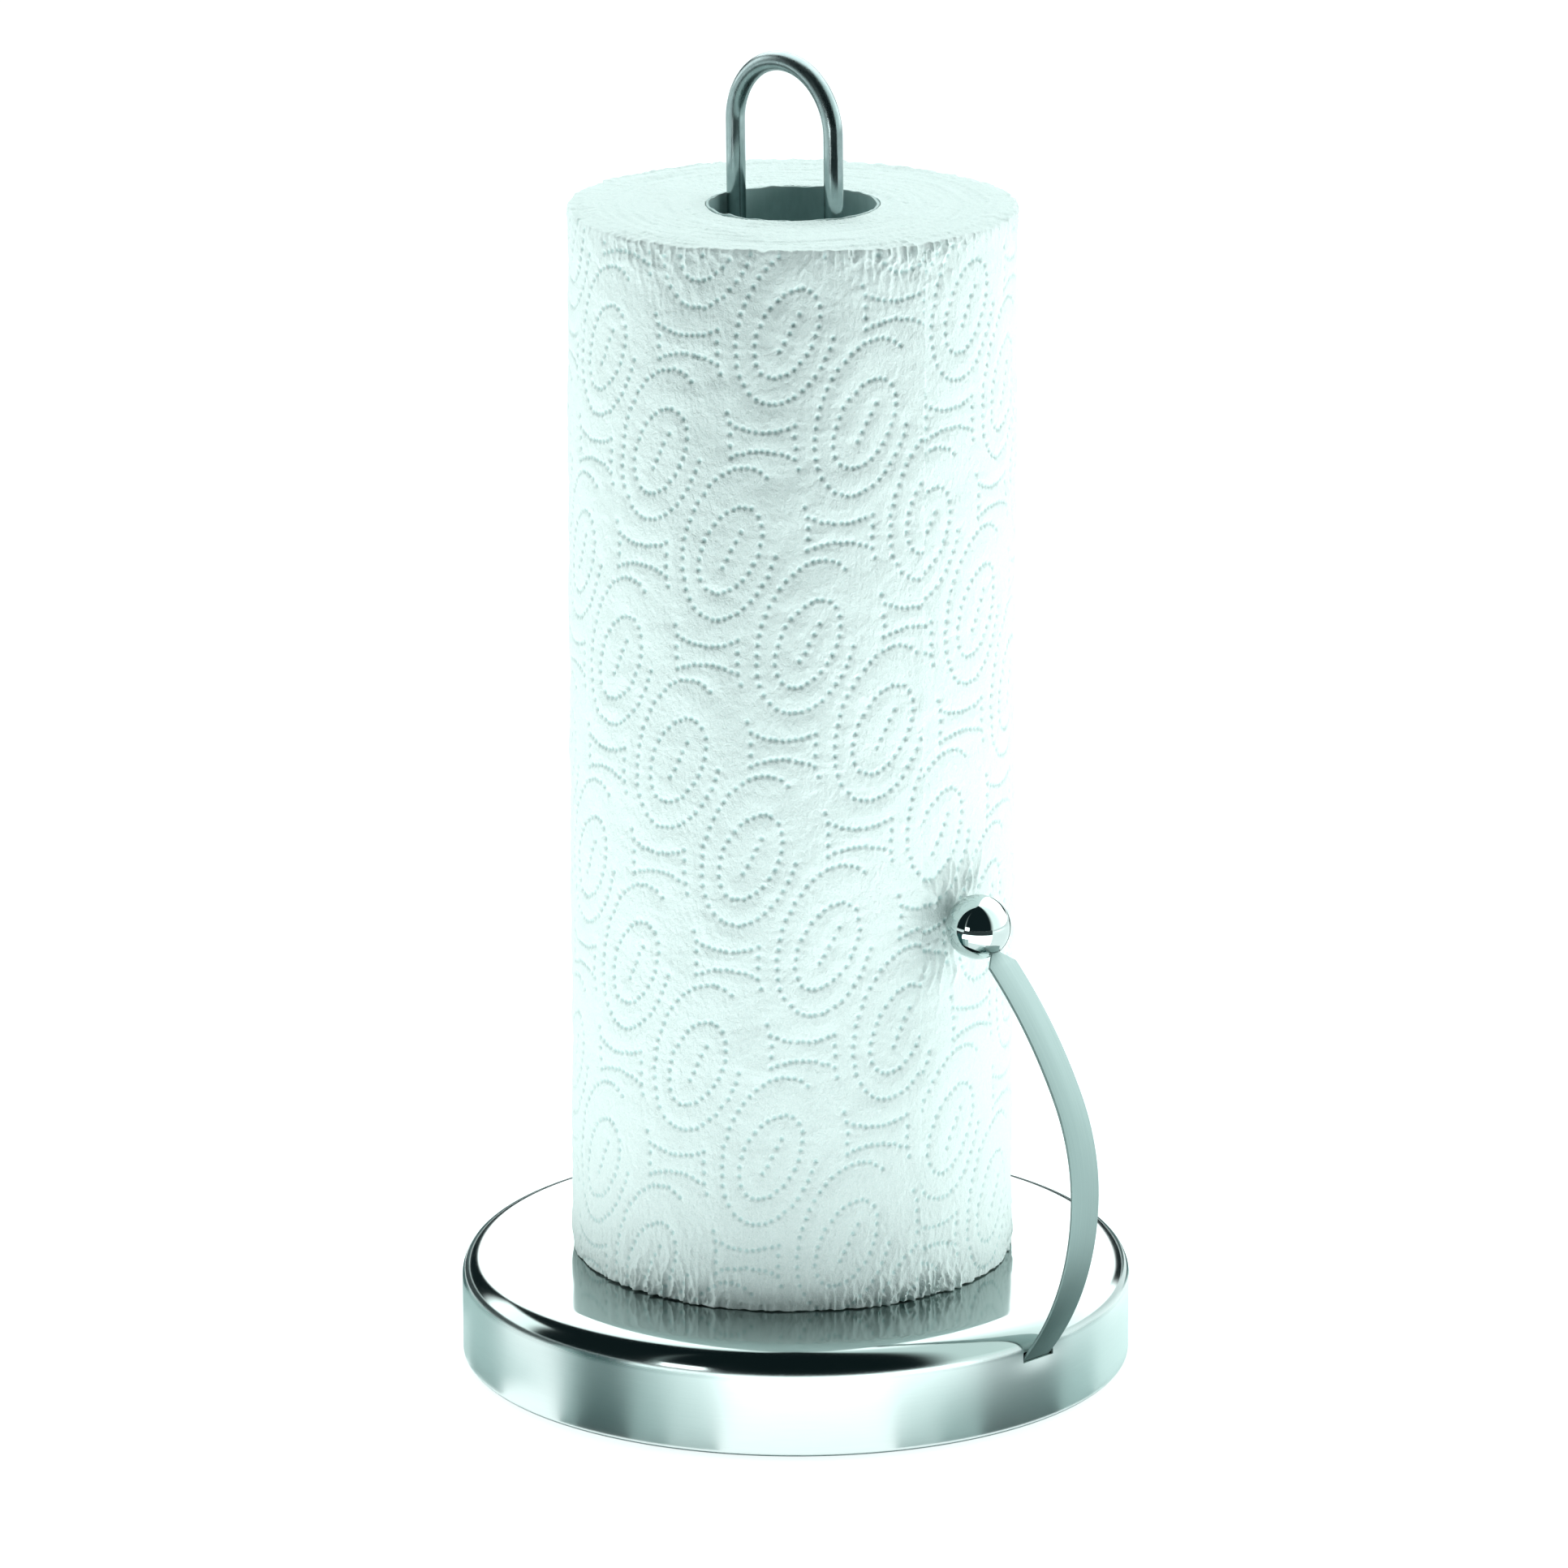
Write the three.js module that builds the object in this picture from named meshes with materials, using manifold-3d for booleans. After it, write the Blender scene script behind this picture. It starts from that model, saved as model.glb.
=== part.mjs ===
// Countertop paper towel holder, loaded with a roll: a weighted round base, a bent-wire spindle
// loop, and a bowed spring arm whose ball tip leans on the paper so that a sheet tears off clean.
//
// Millimetres, +Z up. The origin is the centre of the underside, on the worktop, and +X points
// towards the arm. The wire loop and the arm both lie in the XZ plane.

import * as THREE from 'three';
import { mergeVertices } from 'three/addons/utils/BufferGeometryUtils.js';
import Module from 'manifold-3d';

// ---- Driving dimensions ----

const GAP = 0.3; // between pieces that touch on the real object
const OVERSHOOT = 1; // how far a cutting tool runs past the face it cuts
const WELD_DISTANCE = 1e-3; // corners closer than this are one corner

// Paper roll
const ROLL_HEIGHT = 279.4; // an 11 inch kitchen roll
const ROLL_RADIUS = 58;
const CORE_BORE_RADIUS = 21.5;
const CORE_WALL = 0.8;
const ROLL_EDGE_RADIUS = 1.5;
const CORE_EDGE_RADIUS = 0.2;

// Base
const BASE_RADIUS = 88;
const BASE_TOP_Z = 29.4;
const COVER_SHEET = 0.7;
const SHOULDER_RADIUS = 7.8;
const HEM_Z = 0.8;
const HEM_RADIUS = 1.5;
const HEM_INNER_RADIUS = 82;
const PAD_THICKNESS = 1.6;
const PAD_RADIUS = 79;
const PLATE_THICKNESS = 1;
const PLATE_RADIUS = 86;
const WEIGHT_RADIUS = 72;
const WEIGHT_THICKNESS = 10;
const WEIGHT_CHAMFER = 1;

// Spindle loop
const WIRE_RADIUS = 2.5;
const LEG_SPACING = 35;
const LOOP_TOP_Z = 348.5;

// Threaded ends of the loop and what holds them
const STUD_RADIUS = 2;
const STUD_OVERLAP = 1.5; // how far the stud runs up inside the wire
const SLEEVE_RADIUS = 4.5;
const COUNTERBORE_RADIUS = 6.5;
const COUNTERBORE_DEPTH = 7;
const WASHER_RADIUS = 4.5;
const WASHER_THICKNESS = 0.8;
const LOCK_WASHER_RADIUS = 3.8;
const LOCK_WASHER_THICKNESS = 1;
const LOCK_WASHER_SPLIT_DEG = 14;
const NUT_ACROSS_FLATS = 7;
const NUT_THICKNESS = 3.2;
const ACCESS_HOLE_RADIUS = 7;

// Spring arm
const STRIP_WIDTH = 10;
const STRIP_THICKNESS = 0.8;
const SLIT_Z = 20.7; // where the strip's centreline crosses the cover
const SLIT_HEIGHT = 3.4;
const SLIT_DROP = 0.5; // the slit's middle lies this far below that crossing
const SLIT_SIDE_ROOM = 0.6;
const SLIT_CUTTER_DEPTH = 12; // enough to pass right through the skirt
const SLIT_LEAN_DEG = 38; // from vertical, outwards
const ARM_BOW = [
  { radius: 72.5, endLeanDeg: 0 },
  { radius: 55, endLeanDeg: -27.5 },
  { radius: 117.5, endLeanDeg: -45.8 },
];
const ARC_STEP_DEG = 3.5;
const BALL_RADIUS = 8.35;
const NECK_WIDTH = 3;
const TANG_DEPTH = 4; // how far the neck runs into the ball
const SHOULDER_TO_BALL = 11.9; // from the ball's centre to where the strip is at full width

// Inner end of the strip and its clamp
const ROOT_FLAT_Z = 8.9;
const ROOT_BEND_RADIUS = 8;
const ROOT_INNER_X = 49;
const POCKET_INNER_X = 46;
const POCKET_WIDTH = 14;
const CLAMP_THICKNESS = 1.5;
const CLAMP_WIDTH = 12;
const CLAMP_SPAN_X = [51, 71];
const CLAMP_SCREW_X = { inner: 55.5, outer: 66.5 };
const SCREW_HOLE_FLOOR_Z = 4.1;
const SCREW_HEAD_RADIUS = 3.5;
const SCREW_HEAD_HEIGHT = 2.2;

// Facets
const BIG_ROUND = 72;
const SMALL_ROUND = 24;
const HEX_SIDES = 6;
const SHOULDER_STEPS = { inside: 6, outside: 7 };
const HEM_STEPS = { inside: 2, outside: 3 };
const ROLL_EDGE_STEPS = 2;
const WIRE_SIDES = 16;
const ARCH_STEPS = 20;
const BALL_SEGMENTS = 32;

// ---- Dimensions worked out from them ----

const COVER_UNDERSIDE_Z = BASE_TOP_Z - COVER_SHEET;
const PLATE_Z = PAD_THICKNESS + GAP;
const WEIGHT_Z = PLATE_Z + PLATE_THICKNESS + GAP;
const WEIGHT_TOP_Z = WEIGHT_Z + WEIGHT_THICKNESS;
const COUNTERBORE_TOP_Z = WEIGHT_Z + COUNTERBORE_DEPTH;
const LEG_X = { left: -LEG_SPACING / 2, right: LEG_SPACING / 2 };
const STUD_HOLE_RADIUS = STUD_RADIUS + GAP;
const WASHER_Z = COUNTERBORE_TOP_Z - GAP - WASHER_THICKNESS;
const LOCK_WASHER_Z = WASHER_Z - GAP - LOCK_WASHER_THICKNESS;
const NUT_Z = LOCK_WASHER_Z - GAP - NUT_THICKNESS;
const STUD_END_Z = (NUT_Z + WEIGHT_Z) / 2;
const ROLL_Z = BASE_TOP_Z + GAP;
const CORE_OUTER_RADIUS = CORE_BORE_RADIUS + CORE_WALL;
// The arm pushes the roll away until the core meets the leg on the arm's side.
const ROLL_X = LEG_X.right + WIRE_RADIUS + GAP - CORE_BORE_RADIUS;
const BALL_X = ROLL_X + ROLL_RADIUS + GAP + BALL_RADIUS;
const NECK_CUTTER_DEPTH = 6 * STRIP_THICKNESS; // well past both faces of the strip

// ---- Small helpers ----

const radians = (degrees) => THREE.MathUtils.degToRad(degrees);

// Points of an arc from one angle to another, both included, anticlockwise when it grows.
function arcPoints(centreX, centreY, radius, fromDeg, toDeg, steps) {
  const points = [];
  for (let i = 0; i <= steps; i += 1) {
    const angle = radians(fromDeg + ((toDeg - fromDeg) * i) / steps);
    points.push(new THREE.Vector2(centreX + radius * Math.cos(angle), centreY + radius * Math.sin(angle)));
  }
  return points;
}

// A round body about the Z axis. The profile is (radius, z), upwards on its outer side.
function turned(profile, segments) {
  return new THREE.LatheGeometry(profile, segments).rotateX(Math.PI / 2);
}

// A flat outline in XY, made solid upwards from z. A full circle takes twice the curve segments.
function plate(shape, z, thickness, roundSegments = SMALL_ROUND) {
  const options = { depth: thickness, bevelEnabled: false, curveSegments: roundSegments / 2 };
  return new THREE.ExtrudeGeometry(shape, options).translate(0, 0, z);
}

// An outline drawn in XZ, made solid across Y with the given width, centred on the XZ plane.
function acrossY(shape, width) {
  const geometry = new THREE.ExtrudeGeometry(shape, { depth: width, bevelEnabled: false });
  return geometry.translate(0, 0, -width / 2).rotateX(Math.PI / 2);
}

function disc(x, y, radius) {
  return new THREE.Shape().absarc(x, y, radius, 0, 2 * Math.PI, false);
}

function withHole(shape, x, y, radius) {
  shape.holes.push(new THREE.Path().absarc(x, y, radius, 0, 2 * Math.PI, true));
  return shape;
}

// A round bar from zLow to zHigh, used as a pin or as a drill.
function bar(x, radius, zLow, zHigh, segments = SMALL_ROUND) {
  const geometry = new THREE.CylinderGeometry(radius, radius, zHigh - zLow, segments);
  return geometry.rotateX(Math.PI / 2).translate(x, 0, (zLow + zHigh) / 2);
}

// ---- Cutting and joining ----

const wasm = await Module();
wasm.setup();

function toSolid(geometry) {
  const bare = geometry.clone();
  bare.deleteAttribute('normal');
  bare.deleteAttribute('uv');
  const merged = mergeVertices(bare, WELD_DISTANCE);
  return new wasm.Manifold(
    new wasm.Mesh({
      numProp: 3,
      vertProperties: merged.attributes.position.array,
      triVerts: new Uint32Array(merged.index.array),
    }),
  );
}

function toGeometry(solid) {
  const mesh = solid.getMesh();
  const geometry = new THREE.BufferGeometry();
  geometry.setAttribute('position', new THREE.BufferAttribute(mesh.vertProperties, 3));
  geometry.setIndex(new THREE.BufferAttribute(mesh.triVerts, 1));
  geometry.computeVertexNormals();
  return geometry;
}

function cut(geometry, tools) {
  return toGeometry(tools.reduce((solid, tool) => solid.subtract(toSolid(tool)), toSolid(geometry)));
}

function join(geometries) {
  return toGeometry(geometries.map(toSolid).reduce((whole, next) => whole.add(next)));
}

// ---- The strip's centreline ----

// Walks along the XZ plane from a start point. Lean is the angle from vertical, positive where
// the strip tilts outwards as it rises. Each move is a straight length or an arc to a lean.
function walk(start, moves) {
  const stations = [start];
  for (const move of moves) {
    const from = stations[stations.length - 1];
    if (move.length !== undefined) {
      const x = from.x + move.length * Math.sin(radians(from.leanDeg));
      const z = from.z + move.length * Math.cos(radians(from.leanDeg));
      stations.push({ x, z, leanDeg: from.leanDeg });
      continue;
    }
    const turnDeg = from.leanDeg - move.endLeanDeg;
    const steps = Math.ceil(turnDeg / ARC_STEP_DEG);
    for (let i = 1; i <= steps; i += 1) {
      const leanDeg = from.leanDeg - (turnDeg * i) / steps;
      const x = from.x + move.radius * (Math.cos(radians(leanDeg)) - Math.cos(radians(from.leanDeg)));
      const z = from.z + move.radius * (Math.sin(radians(from.leanDeg)) - Math.sin(radians(leanDeg)));
      stations.push({ x, z, leanDeg });
    }
  }
  return stations;
}

// The strip's side view: its centreline made as thick as the sheet.
function stripOutline(stations) {
  const side = (sign) =>
    stations.map(({ x, z, leanDeg }) => {
      const reach = (sign * STRIP_THICKNESS) / 2;
      const lean = radians(leanDeg);
      return new THREE.Vector2(x + reach * Math.cos(lean), z - reach * Math.sin(lean));
    });
  return new THREE.Shape([...side(1), ...side(-1).reverse()]);
}

// ---- Base ----

function makeBaseCover() {
  const shoulderX = BASE_RADIUS - SHOULDER_RADIUS;
  const shoulderZ = BASE_TOP_Z - SHOULDER_RADIUS;
  const hemX = BASE_RADIUS - HEM_RADIUS;
  const hemZ = HEM_Z + HEM_RADIUS;
  const profile = [
    new THREE.Vector2(0, COVER_UNDERSIDE_Z),
    ...arcPoints(shoulderX, shoulderZ, SHOULDER_RADIUS - COVER_SHEET, 90, 0, SHOULDER_STEPS.inside),
    ...arcPoints(hemX, hemZ, HEM_RADIUS - COVER_SHEET, 0, -90, HEM_STEPS.inside),
    new THREE.Vector2(HEM_INNER_RADIUS, HEM_Z + COVER_SHEET),
    new THREE.Vector2(HEM_INNER_RADIUS, HEM_Z),
    ...arcPoints(hemX, hemZ, HEM_RADIUS, -90, 0, HEM_STEPS.outside),
    ...arcPoints(shoulderX, shoulderZ, SHOULDER_RADIUS, 0, 90, SHOULDER_STEPS.outside),
    new THREE.Vector2(0, BASE_TOP_Z),
  ];
  const slit = new THREE.BoxGeometry(SLIT_CUTTER_DEPTH, STRIP_WIDTH + 2 * SLIT_SIDE_ROOM, SLIT_HEIGHT);
  slit.translate(BASE_RADIUS, 0, SLIT_Z - SLIT_DROP);
  const drills = Object.values(LEG_X).map((x) =>
    bar(x, STUD_HOLE_RADIUS, COVER_UNDERSIDE_Z - COVER_SHEET, BASE_TOP_Z + COVER_SHEET),
  );
  return cut(turned(profile, BIG_ROUND), [slit, ...drills]);
}

function makeBaseWeight() {
  const rim = WEIGHT_RADIUS - WEIGHT_CHAMFER;
  const profile = [
    new THREE.Vector2(0, WEIGHT_Z),
    new THREE.Vector2(rim, WEIGHT_Z),
    new THREE.Vector2(WEIGHT_RADIUS, WEIGHT_Z + WEIGHT_CHAMFER),
    new THREE.Vector2(WEIGHT_RADIUS, WEIGHT_TOP_Z - WEIGHT_CHAMFER),
    new THREE.Vector2(rim, WEIGHT_TOP_Z),
    new THREE.Vector2(0, WEIGHT_TOP_Z),
  ];
  const tools = [];
  for (const x of Object.values(LEG_X)) {
    tools.push(bar(x, STUD_HOLE_RADIUS, WEIGHT_Z - OVERSHOOT, WEIGHT_TOP_Z + OVERSHOOT));
    tools.push(bar(x, COUNTERBORE_RADIUS, WEIGHT_Z - OVERSHOOT, COUNTERBORE_TOP_Z));
  }
  const pocketFloorZ = ROOT_FLAT_Z - STRIP_THICKNESS / 2 - GAP;
  const pocketHeight = WEIGHT_TOP_Z + OVERSHOOT - pocketFloorZ;
  const pocketLength = BASE_RADIUS - POCKET_INNER_X;
  const pocket = new THREE.BoxGeometry(pocketLength, POCKET_WIDTH, pocketHeight);
  tools.push(pocket.translate(POCKET_INNER_X + pocketLength / 2, 0, pocketFloorZ + pocketHeight / 2));
  for (const x of Object.values(CLAMP_SCREW_X)) {
    tools.push(bar(x, STUD_HOLE_RADIUS, SCREW_HOLE_FLOOR_Z, WEIGHT_TOP_Z));
  }
  return cut(turned(profile, BIG_ROUND), tools);
}

function makeBottomPlate() {
  const shape = disc(0, 0, PLATE_RADIUS);
  Object.values(LEG_X).forEach((x) => withHole(shape, x, 0, ACCESS_HOLE_RADIUS));
  return plate(shape, PLATE_Z, PLATE_THICKNESS, BIG_ROUND);
}

function makeNonSlipPad() {
  return plate(disc(0, 0, PAD_RADIUS), 0, PAD_THICKNESS, BIG_ROUND);
}

// ---- Spindle loop ----

// The bent wire: up one leg, over a half circle and down the other. Each leg is one step of the
// parameter and the arch takes all the others, so the facets go where the wire bends.
class LoopCurve extends THREE.Curve {
  getPoint(t, target = new THREE.Vector3()) {
    const bendRadius = LEG_SPACING / 2;
    const archZ = LOOP_TOP_Z - WIRE_RADIUS - bendRadius;
    const legLength = archZ - ROLL_Z;
    const step = t * (ARCH_STEPS + 2);
    if (step < 1) return target.set(-bendRadius, 0, archZ - legLength * (1 - step));
    if (step > ARCH_STEPS + 1) return target.set(bendRadius, 0, archZ - legLength * (step - ARCH_STEPS - 1));
    const angle = (Math.PI * (step - 1)) / ARCH_STEPS;
    return target.set(-bendRadius * Math.cos(angle), 0, archZ + bendRadius * Math.sin(angle));
  }

  getUtoTmapping(u) {
    return u;
  }
}

function makeSpindleLoop() {
  const section = new THREE.Shape(arcPoints(0, 0, WIRE_RADIUS, 0, 360, WIRE_SIDES).slice(0, WIRE_SIDES));
  const wire = new THREE.ExtrudeGeometry(section, { steps: ARCH_STEPS + 2, extrudePath: new LoopCurve() });
  const studs = Object.values(LEG_X).map((x) => bar(x, STUD_RADIUS, STUD_END_Z, ROLL_Z + STUD_OVERLAP));
  return join([wire, ...studs]);
}

function makeSpindleSleeve(x) {
  const shape = withHole(disc(x, 0, SLEEVE_RADIUS), x, 0, STUD_HOLE_RADIUS);
  const bottomZ = WEIGHT_TOP_Z + GAP;
  return plate(shape, bottomZ, COVER_UNDERSIDE_Z - GAP - bottomZ);
}

function makeSpindleWasher(x) {
  return plate(withHole(disc(x, 0, WASHER_RADIUS), x, 0, STUD_HOLE_RADIUS), WASHER_Z, WASHER_THICKNESS);
}

// A spring washer: a ring with one split.
function makeSpindleLockWasher(x) {
  const from = radians(LOCK_WASHER_SPLIT_DEG / 2);
  const to = 2 * Math.PI - from;
  const shape = new THREE.Shape();
  shape.absarc(x, 0, LOCK_WASHER_RADIUS, from, to, false);
  shape.absarc(x, 0, STUD_HOLE_RADIUS, to, from, true);
  return plate(shape, LOCK_WASHER_Z, LOCK_WASHER_THICKNESS);
}

function makeSpindleNut(x) {
  const cornerRadius = NUT_ACROSS_FLATS / Math.sqrt(3);
  const shape = new THREE.Shape(arcPoints(x, 0, cornerRadius, 0, 360, HEX_SIDES).slice(0, HEX_SIDES));
  return plate(withHole(shape, x, 0, STUD_HOLE_RADIUS), NUT_Z, NUT_THICKNESS);
}

// ---- Spring arm ----

const ballLeanDeg = ARM_BOW[ARM_BOW.length - 1].endLeanDeg;
const armStations = walk({ x: BASE_RADIUS, z: SLIT_Z, leanDeg: SLIT_LEAN_DEG }, ARM_BOW);
const bowEnd = armStations[armStations.length - 1];
const bowEndToBall = (BALL_X - bowEnd.x) / Math.sin(radians(ballLeanDeg));
const ballCentre = new THREE.Vector3(BALL_X, 0, bowEnd.z + bowEndToBall * Math.cos(radians(ballLeanDeg)));

// Axes at the ball: first from the ball's centre down the strip, then across, then through it.
const ballFrame = new THREE.Matrix4()
  .makeBasis(
    new THREE.Vector3(-Math.sin(radians(ballLeanDeg)), 0, -Math.cos(radians(ballLeanDeg))),
    new THREE.Vector3(0, 1, 0),
    new THREE.Vector3(Math.cos(radians(ballLeanDeg)), 0, -Math.sin(radians(ballLeanDeg))),
  )
  .setPosition(ballCentre);

// What is cut away beside the neck on one side of the strip, with the 45 degree shoulder.
function makeNeckCutter(sign) {
  const neck = NECK_WIDTH / 2;
  const chamfer = (STRIP_WIDTH - NECK_WIDTH) / 2;
  const clear = STRIP_WIDTH / 2 + OVERSHOOT;
  const corners = [
    [0, neck],
    [SHOULDER_TO_BALL - chamfer, neck],
    [SHOULDER_TO_BALL - chamfer + clear - neck, clear],
    [0, clear],
  ];
  const shape = new THREE.Shape(corners.map(([along, across]) => new THREE.Vector2(along, sign * across)));
  const cutter = new THREE.ExtrudeGeometry(shape, { depth: NECK_CUTTER_DEPTH, bevelEnabled: false });
  return cutter.translate(0, 0, -NECK_CUTTER_DEPTH / 2).applyMatrix4(ballFrame);
}

function makeSpringArm() {
  const tangLength = bowEndToBall - (BALL_RADIUS - TANG_DEPTH);
  const slitGap = [{ length: GAP / 2 }];
  const start = walk(armStations[0], slitGap)[1];
  const stations = [start, ...armStations.slice(1), ...walk(bowEnd, [{ length: tangLength }]).slice(1)];
  return cut(acrossY(stripOutline(stations), STRIP_WIDTH), [makeNeckCutter(1), makeNeckCutter(-1)]);
}

function makeArmBall() {
  const slotDepth = TANG_DEPTH + GAP;
  const slot = new THREE.BoxGeometry(2 * slotDepth, NECK_WIDTH + 2 * GAP, STRIP_THICKNESS + 2 * GAP);
  slot.translate(BALL_RADIUS, 0, 0).applyMatrix4(ballFrame);
  const ball = new THREE.SphereGeometry(BALL_RADIUS, BALL_SEGMENTS, BALL_SEGMENTS / 2);
  return cut(ball.rotateX(Math.PI / 2).translate(ballCentre.x, 0, ballCentre.z), [slot]);
}

// The same strip inside the cover: flat on the weight, bent up, then straight to the slit.
function makeArmRoot() {
  const lean = radians(SLIT_LEAN_DEG);
  const bendRise = ROOT_BEND_RADIUS * (1 - Math.sin(lean));
  const straight = (SLIT_Z - ROOT_FLAT_Z - bendRise) / Math.cos(lean);
  const bendX = BASE_RADIUS - straight * Math.sin(lean) - ROOT_BEND_RADIUS * Math.cos(lean);
  const stations = walk({ x: ROOT_INNER_X, z: ROOT_FLAT_Z, leanDeg: 90 }, [
    { length: bendX - ROOT_INNER_X },
    { radius: ROOT_BEND_RADIUS, endLeanDeg: SLIT_LEAN_DEG },
    { length: straight - GAP / 2 },
  ]);
  const drills = Object.values(CLAMP_SCREW_X).map((x) =>
    bar(x, STUD_HOLE_RADIUS, ROOT_FLAT_Z - OVERSHOOT, ROOT_FLAT_Z + OVERSHOOT),
  );
  return cut(acrossY(stripOutline(stations), STRIP_WIDTH), drills);
}

const CLAMP_Z = ROOT_FLAT_Z + STRIP_THICKNESS / 2 + GAP;

function makeArmClampPlate() {
  const [lowX, highX] = CLAMP_SPAN_X;
  const half = CLAMP_WIDTH / 2;
  const corners = [[lowX, -half], [highX, -half], [highX, half], [lowX, half]];
  const shape = new THREE.Shape(corners.map(([x, y]) => new THREE.Vector2(x, y)));
  Object.values(CLAMP_SCREW_X).forEach((x) => withHole(shape, x, 0, STUD_HOLE_RADIUS));
  return plate(shape, CLAMP_Z, CLAMP_THICKNESS);
}

// A cap screw with a hexagon socket.
function makeArmClampScrew(x) {
  const headZ = CLAMP_Z + CLAMP_THICKNESS + GAP;
  const shank = bar(x, STUD_RADIUS, SCREW_HOLE_FLOOR_Z + GAP, headZ + SCREW_HEAD_HEIGHT / 2);
  const head = bar(x, SCREW_HEAD_RADIUS, headZ, headZ + SCREW_HEAD_HEIGHT);
  const socketDepth = SCREW_HEAD_HEIGHT / 2;
  const socket = bar(x, STUD_RADIUS / 2, headZ + socketDepth, headZ + 2 * SCREW_HEAD_HEIGHT, HEX_SIDES);
  return cut(join([shank, head]), [socket]);
}

// ---- Roll ----

function makeRollTube(innerRadius, outerRadius, edgeRadius, segments) {
  const topZ = ROLL_Z + ROLL_HEIGHT;
  const profile = [
    new THREE.Vector2(innerRadius, ROLL_Z),
    ...arcPoints(outerRadius - edgeRadius, ROLL_Z + edgeRadius, edgeRadius, -90, 0, ROLL_EDGE_STEPS),
    ...arcPoints(outerRadius - edgeRadius, topZ - edgeRadius, edgeRadius, 0, 90, ROLL_EDGE_STEPS),
    new THREE.Vector2(innerRadius, topZ),
    new THREE.Vector2(innerRadius, ROLL_Z),
  ];
  return turned(profile, segments).translate(ROLL_X, 0, 0);
}

function makePaperRoll() {
  return makeRollTube(CORE_OUTER_RADIUS + GAP, ROLL_RADIUS, ROLL_EDGE_RADIUS, BIG_ROUND);
}

function makeCardboardCore() {
  return makeRollTube(CORE_BORE_RADIUS, CORE_OUTER_RADIUS, CORE_EDGE_RADIUS, BIG_ROUND);
}

// ---- Materials and assembly ----

const FINISHES = {
  polishedSteel: { color: '#c9cfce', metalness: 1, roughness: 0.12 },
  brightWire: { color: '#b9c2c1', metalness: 1, roughness: 0.18 },
  satinStrip: { color: '#b4c3c0', metalness: 1, roughness: 0.35 },
  chrome: { color: '#d6dcdb', metalness: 1, roughness: 0.05 },
  castIron: { color: '#3d3f40', metalness: 0.6, roughness: 0.8 },
  zincSteel: { color: '#a7acab', metalness: 1, roughness: 0.45 },
  foamRubber: { color: '#1d1f20', metalness: 0, roughness: 0.95 },
  cardboard: { color: '#8d877b', metalness: 0, roughness: 0.9 },
  paper: { color: '#f1f5f4', metalness: 0, roughness: 0.9 },
};

const holder = new THREE.Group();

function addPiece(name, geometry, finish) {
  const mesh = new THREE.Mesh(geometry, new THREE.MeshStandardMaterial(FINISHES[finish]));
  mesh.name = name;
  holder.add(mesh);
}

addPiece('base_cover', makeBaseCover(), 'polishedSteel');
addPiece('base_weight', makeBaseWeight(), 'castIron');
addPiece('bottom_plate', makeBottomPlate(), 'zincSteel');
addPiece('non_slip_pad', makeNonSlipPad(), 'foamRubber');
addPiece('spindle_loop', makeSpindleLoop(), 'brightWire');
for (const [side, x] of Object.entries(LEG_X)) {
  addPiece(`spindle_sleeve_${side}`, makeSpindleSleeve(x), 'zincSteel');
  addPiece(`spindle_washer_${side}`, makeSpindleWasher(x), 'zincSteel');
  addPiece(`spindle_lock_washer_${side}`, makeSpindleLockWasher(x), 'zincSteel');
  addPiece(`spindle_nut_${side}`, makeSpindleNut(x), 'zincSteel');
}
addPiece('arm_root', makeArmRoot(), 'satinStrip');
addPiece('arm_clamp_plate', makeArmClampPlate(), 'zincSteel');
for (const [place, x] of Object.entries(CLAMP_SCREW_X)) {
  addPiece(`arm_clamp_screw_${place}`, makeArmClampScrew(x), 'zincSteel');
}
addPiece('spring_arm', makeSpringArm(), 'satinStrip');
addPiece('arm_ball', makeArmBall(), 'chrome');
addPiece('cardboard_core', makeCardboardCore(), 'cardboard');
addPiece('paper_roll', makePaperRoll(), 'paper');

export default holder;
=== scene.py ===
# A countertop paper towel holder with a roll on it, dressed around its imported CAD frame.
# Lengths here are millimetres unless a name ends in _M; meshes are written in metres.

import math

import bpy
import numpy as np
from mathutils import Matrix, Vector


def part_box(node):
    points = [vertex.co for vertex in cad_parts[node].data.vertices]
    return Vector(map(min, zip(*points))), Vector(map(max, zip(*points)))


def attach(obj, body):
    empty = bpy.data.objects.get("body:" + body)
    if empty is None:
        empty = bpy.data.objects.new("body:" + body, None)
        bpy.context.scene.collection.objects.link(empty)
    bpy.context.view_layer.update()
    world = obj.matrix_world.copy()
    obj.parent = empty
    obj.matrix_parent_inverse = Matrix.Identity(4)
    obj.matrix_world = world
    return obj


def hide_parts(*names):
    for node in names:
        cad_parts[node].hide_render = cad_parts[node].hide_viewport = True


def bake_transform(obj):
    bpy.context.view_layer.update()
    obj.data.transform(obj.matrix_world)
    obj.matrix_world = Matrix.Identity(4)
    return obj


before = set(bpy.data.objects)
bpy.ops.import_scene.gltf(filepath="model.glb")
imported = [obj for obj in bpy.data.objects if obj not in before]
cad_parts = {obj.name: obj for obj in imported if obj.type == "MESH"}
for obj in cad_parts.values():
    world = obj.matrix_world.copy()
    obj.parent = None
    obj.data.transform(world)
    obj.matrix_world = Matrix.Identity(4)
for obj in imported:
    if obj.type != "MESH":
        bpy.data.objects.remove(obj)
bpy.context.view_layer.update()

MM = 0.001

# ---- Driving dimensions ----

# Camera, seen from the side of the base between the front and the arm
CAMERA_AZIMUTH_DEG = 44.5
CAMERA_DISTANCE = 2228
CAMERA_HEIGHT = 775
CAMERA_PITCH_DEG = 15.55
CAMERA_YAW_DEG = 0.08
CAMERA_LENS = 204
SENSOR_WIDTH = 36
CLIP_END_M = 100

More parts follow.
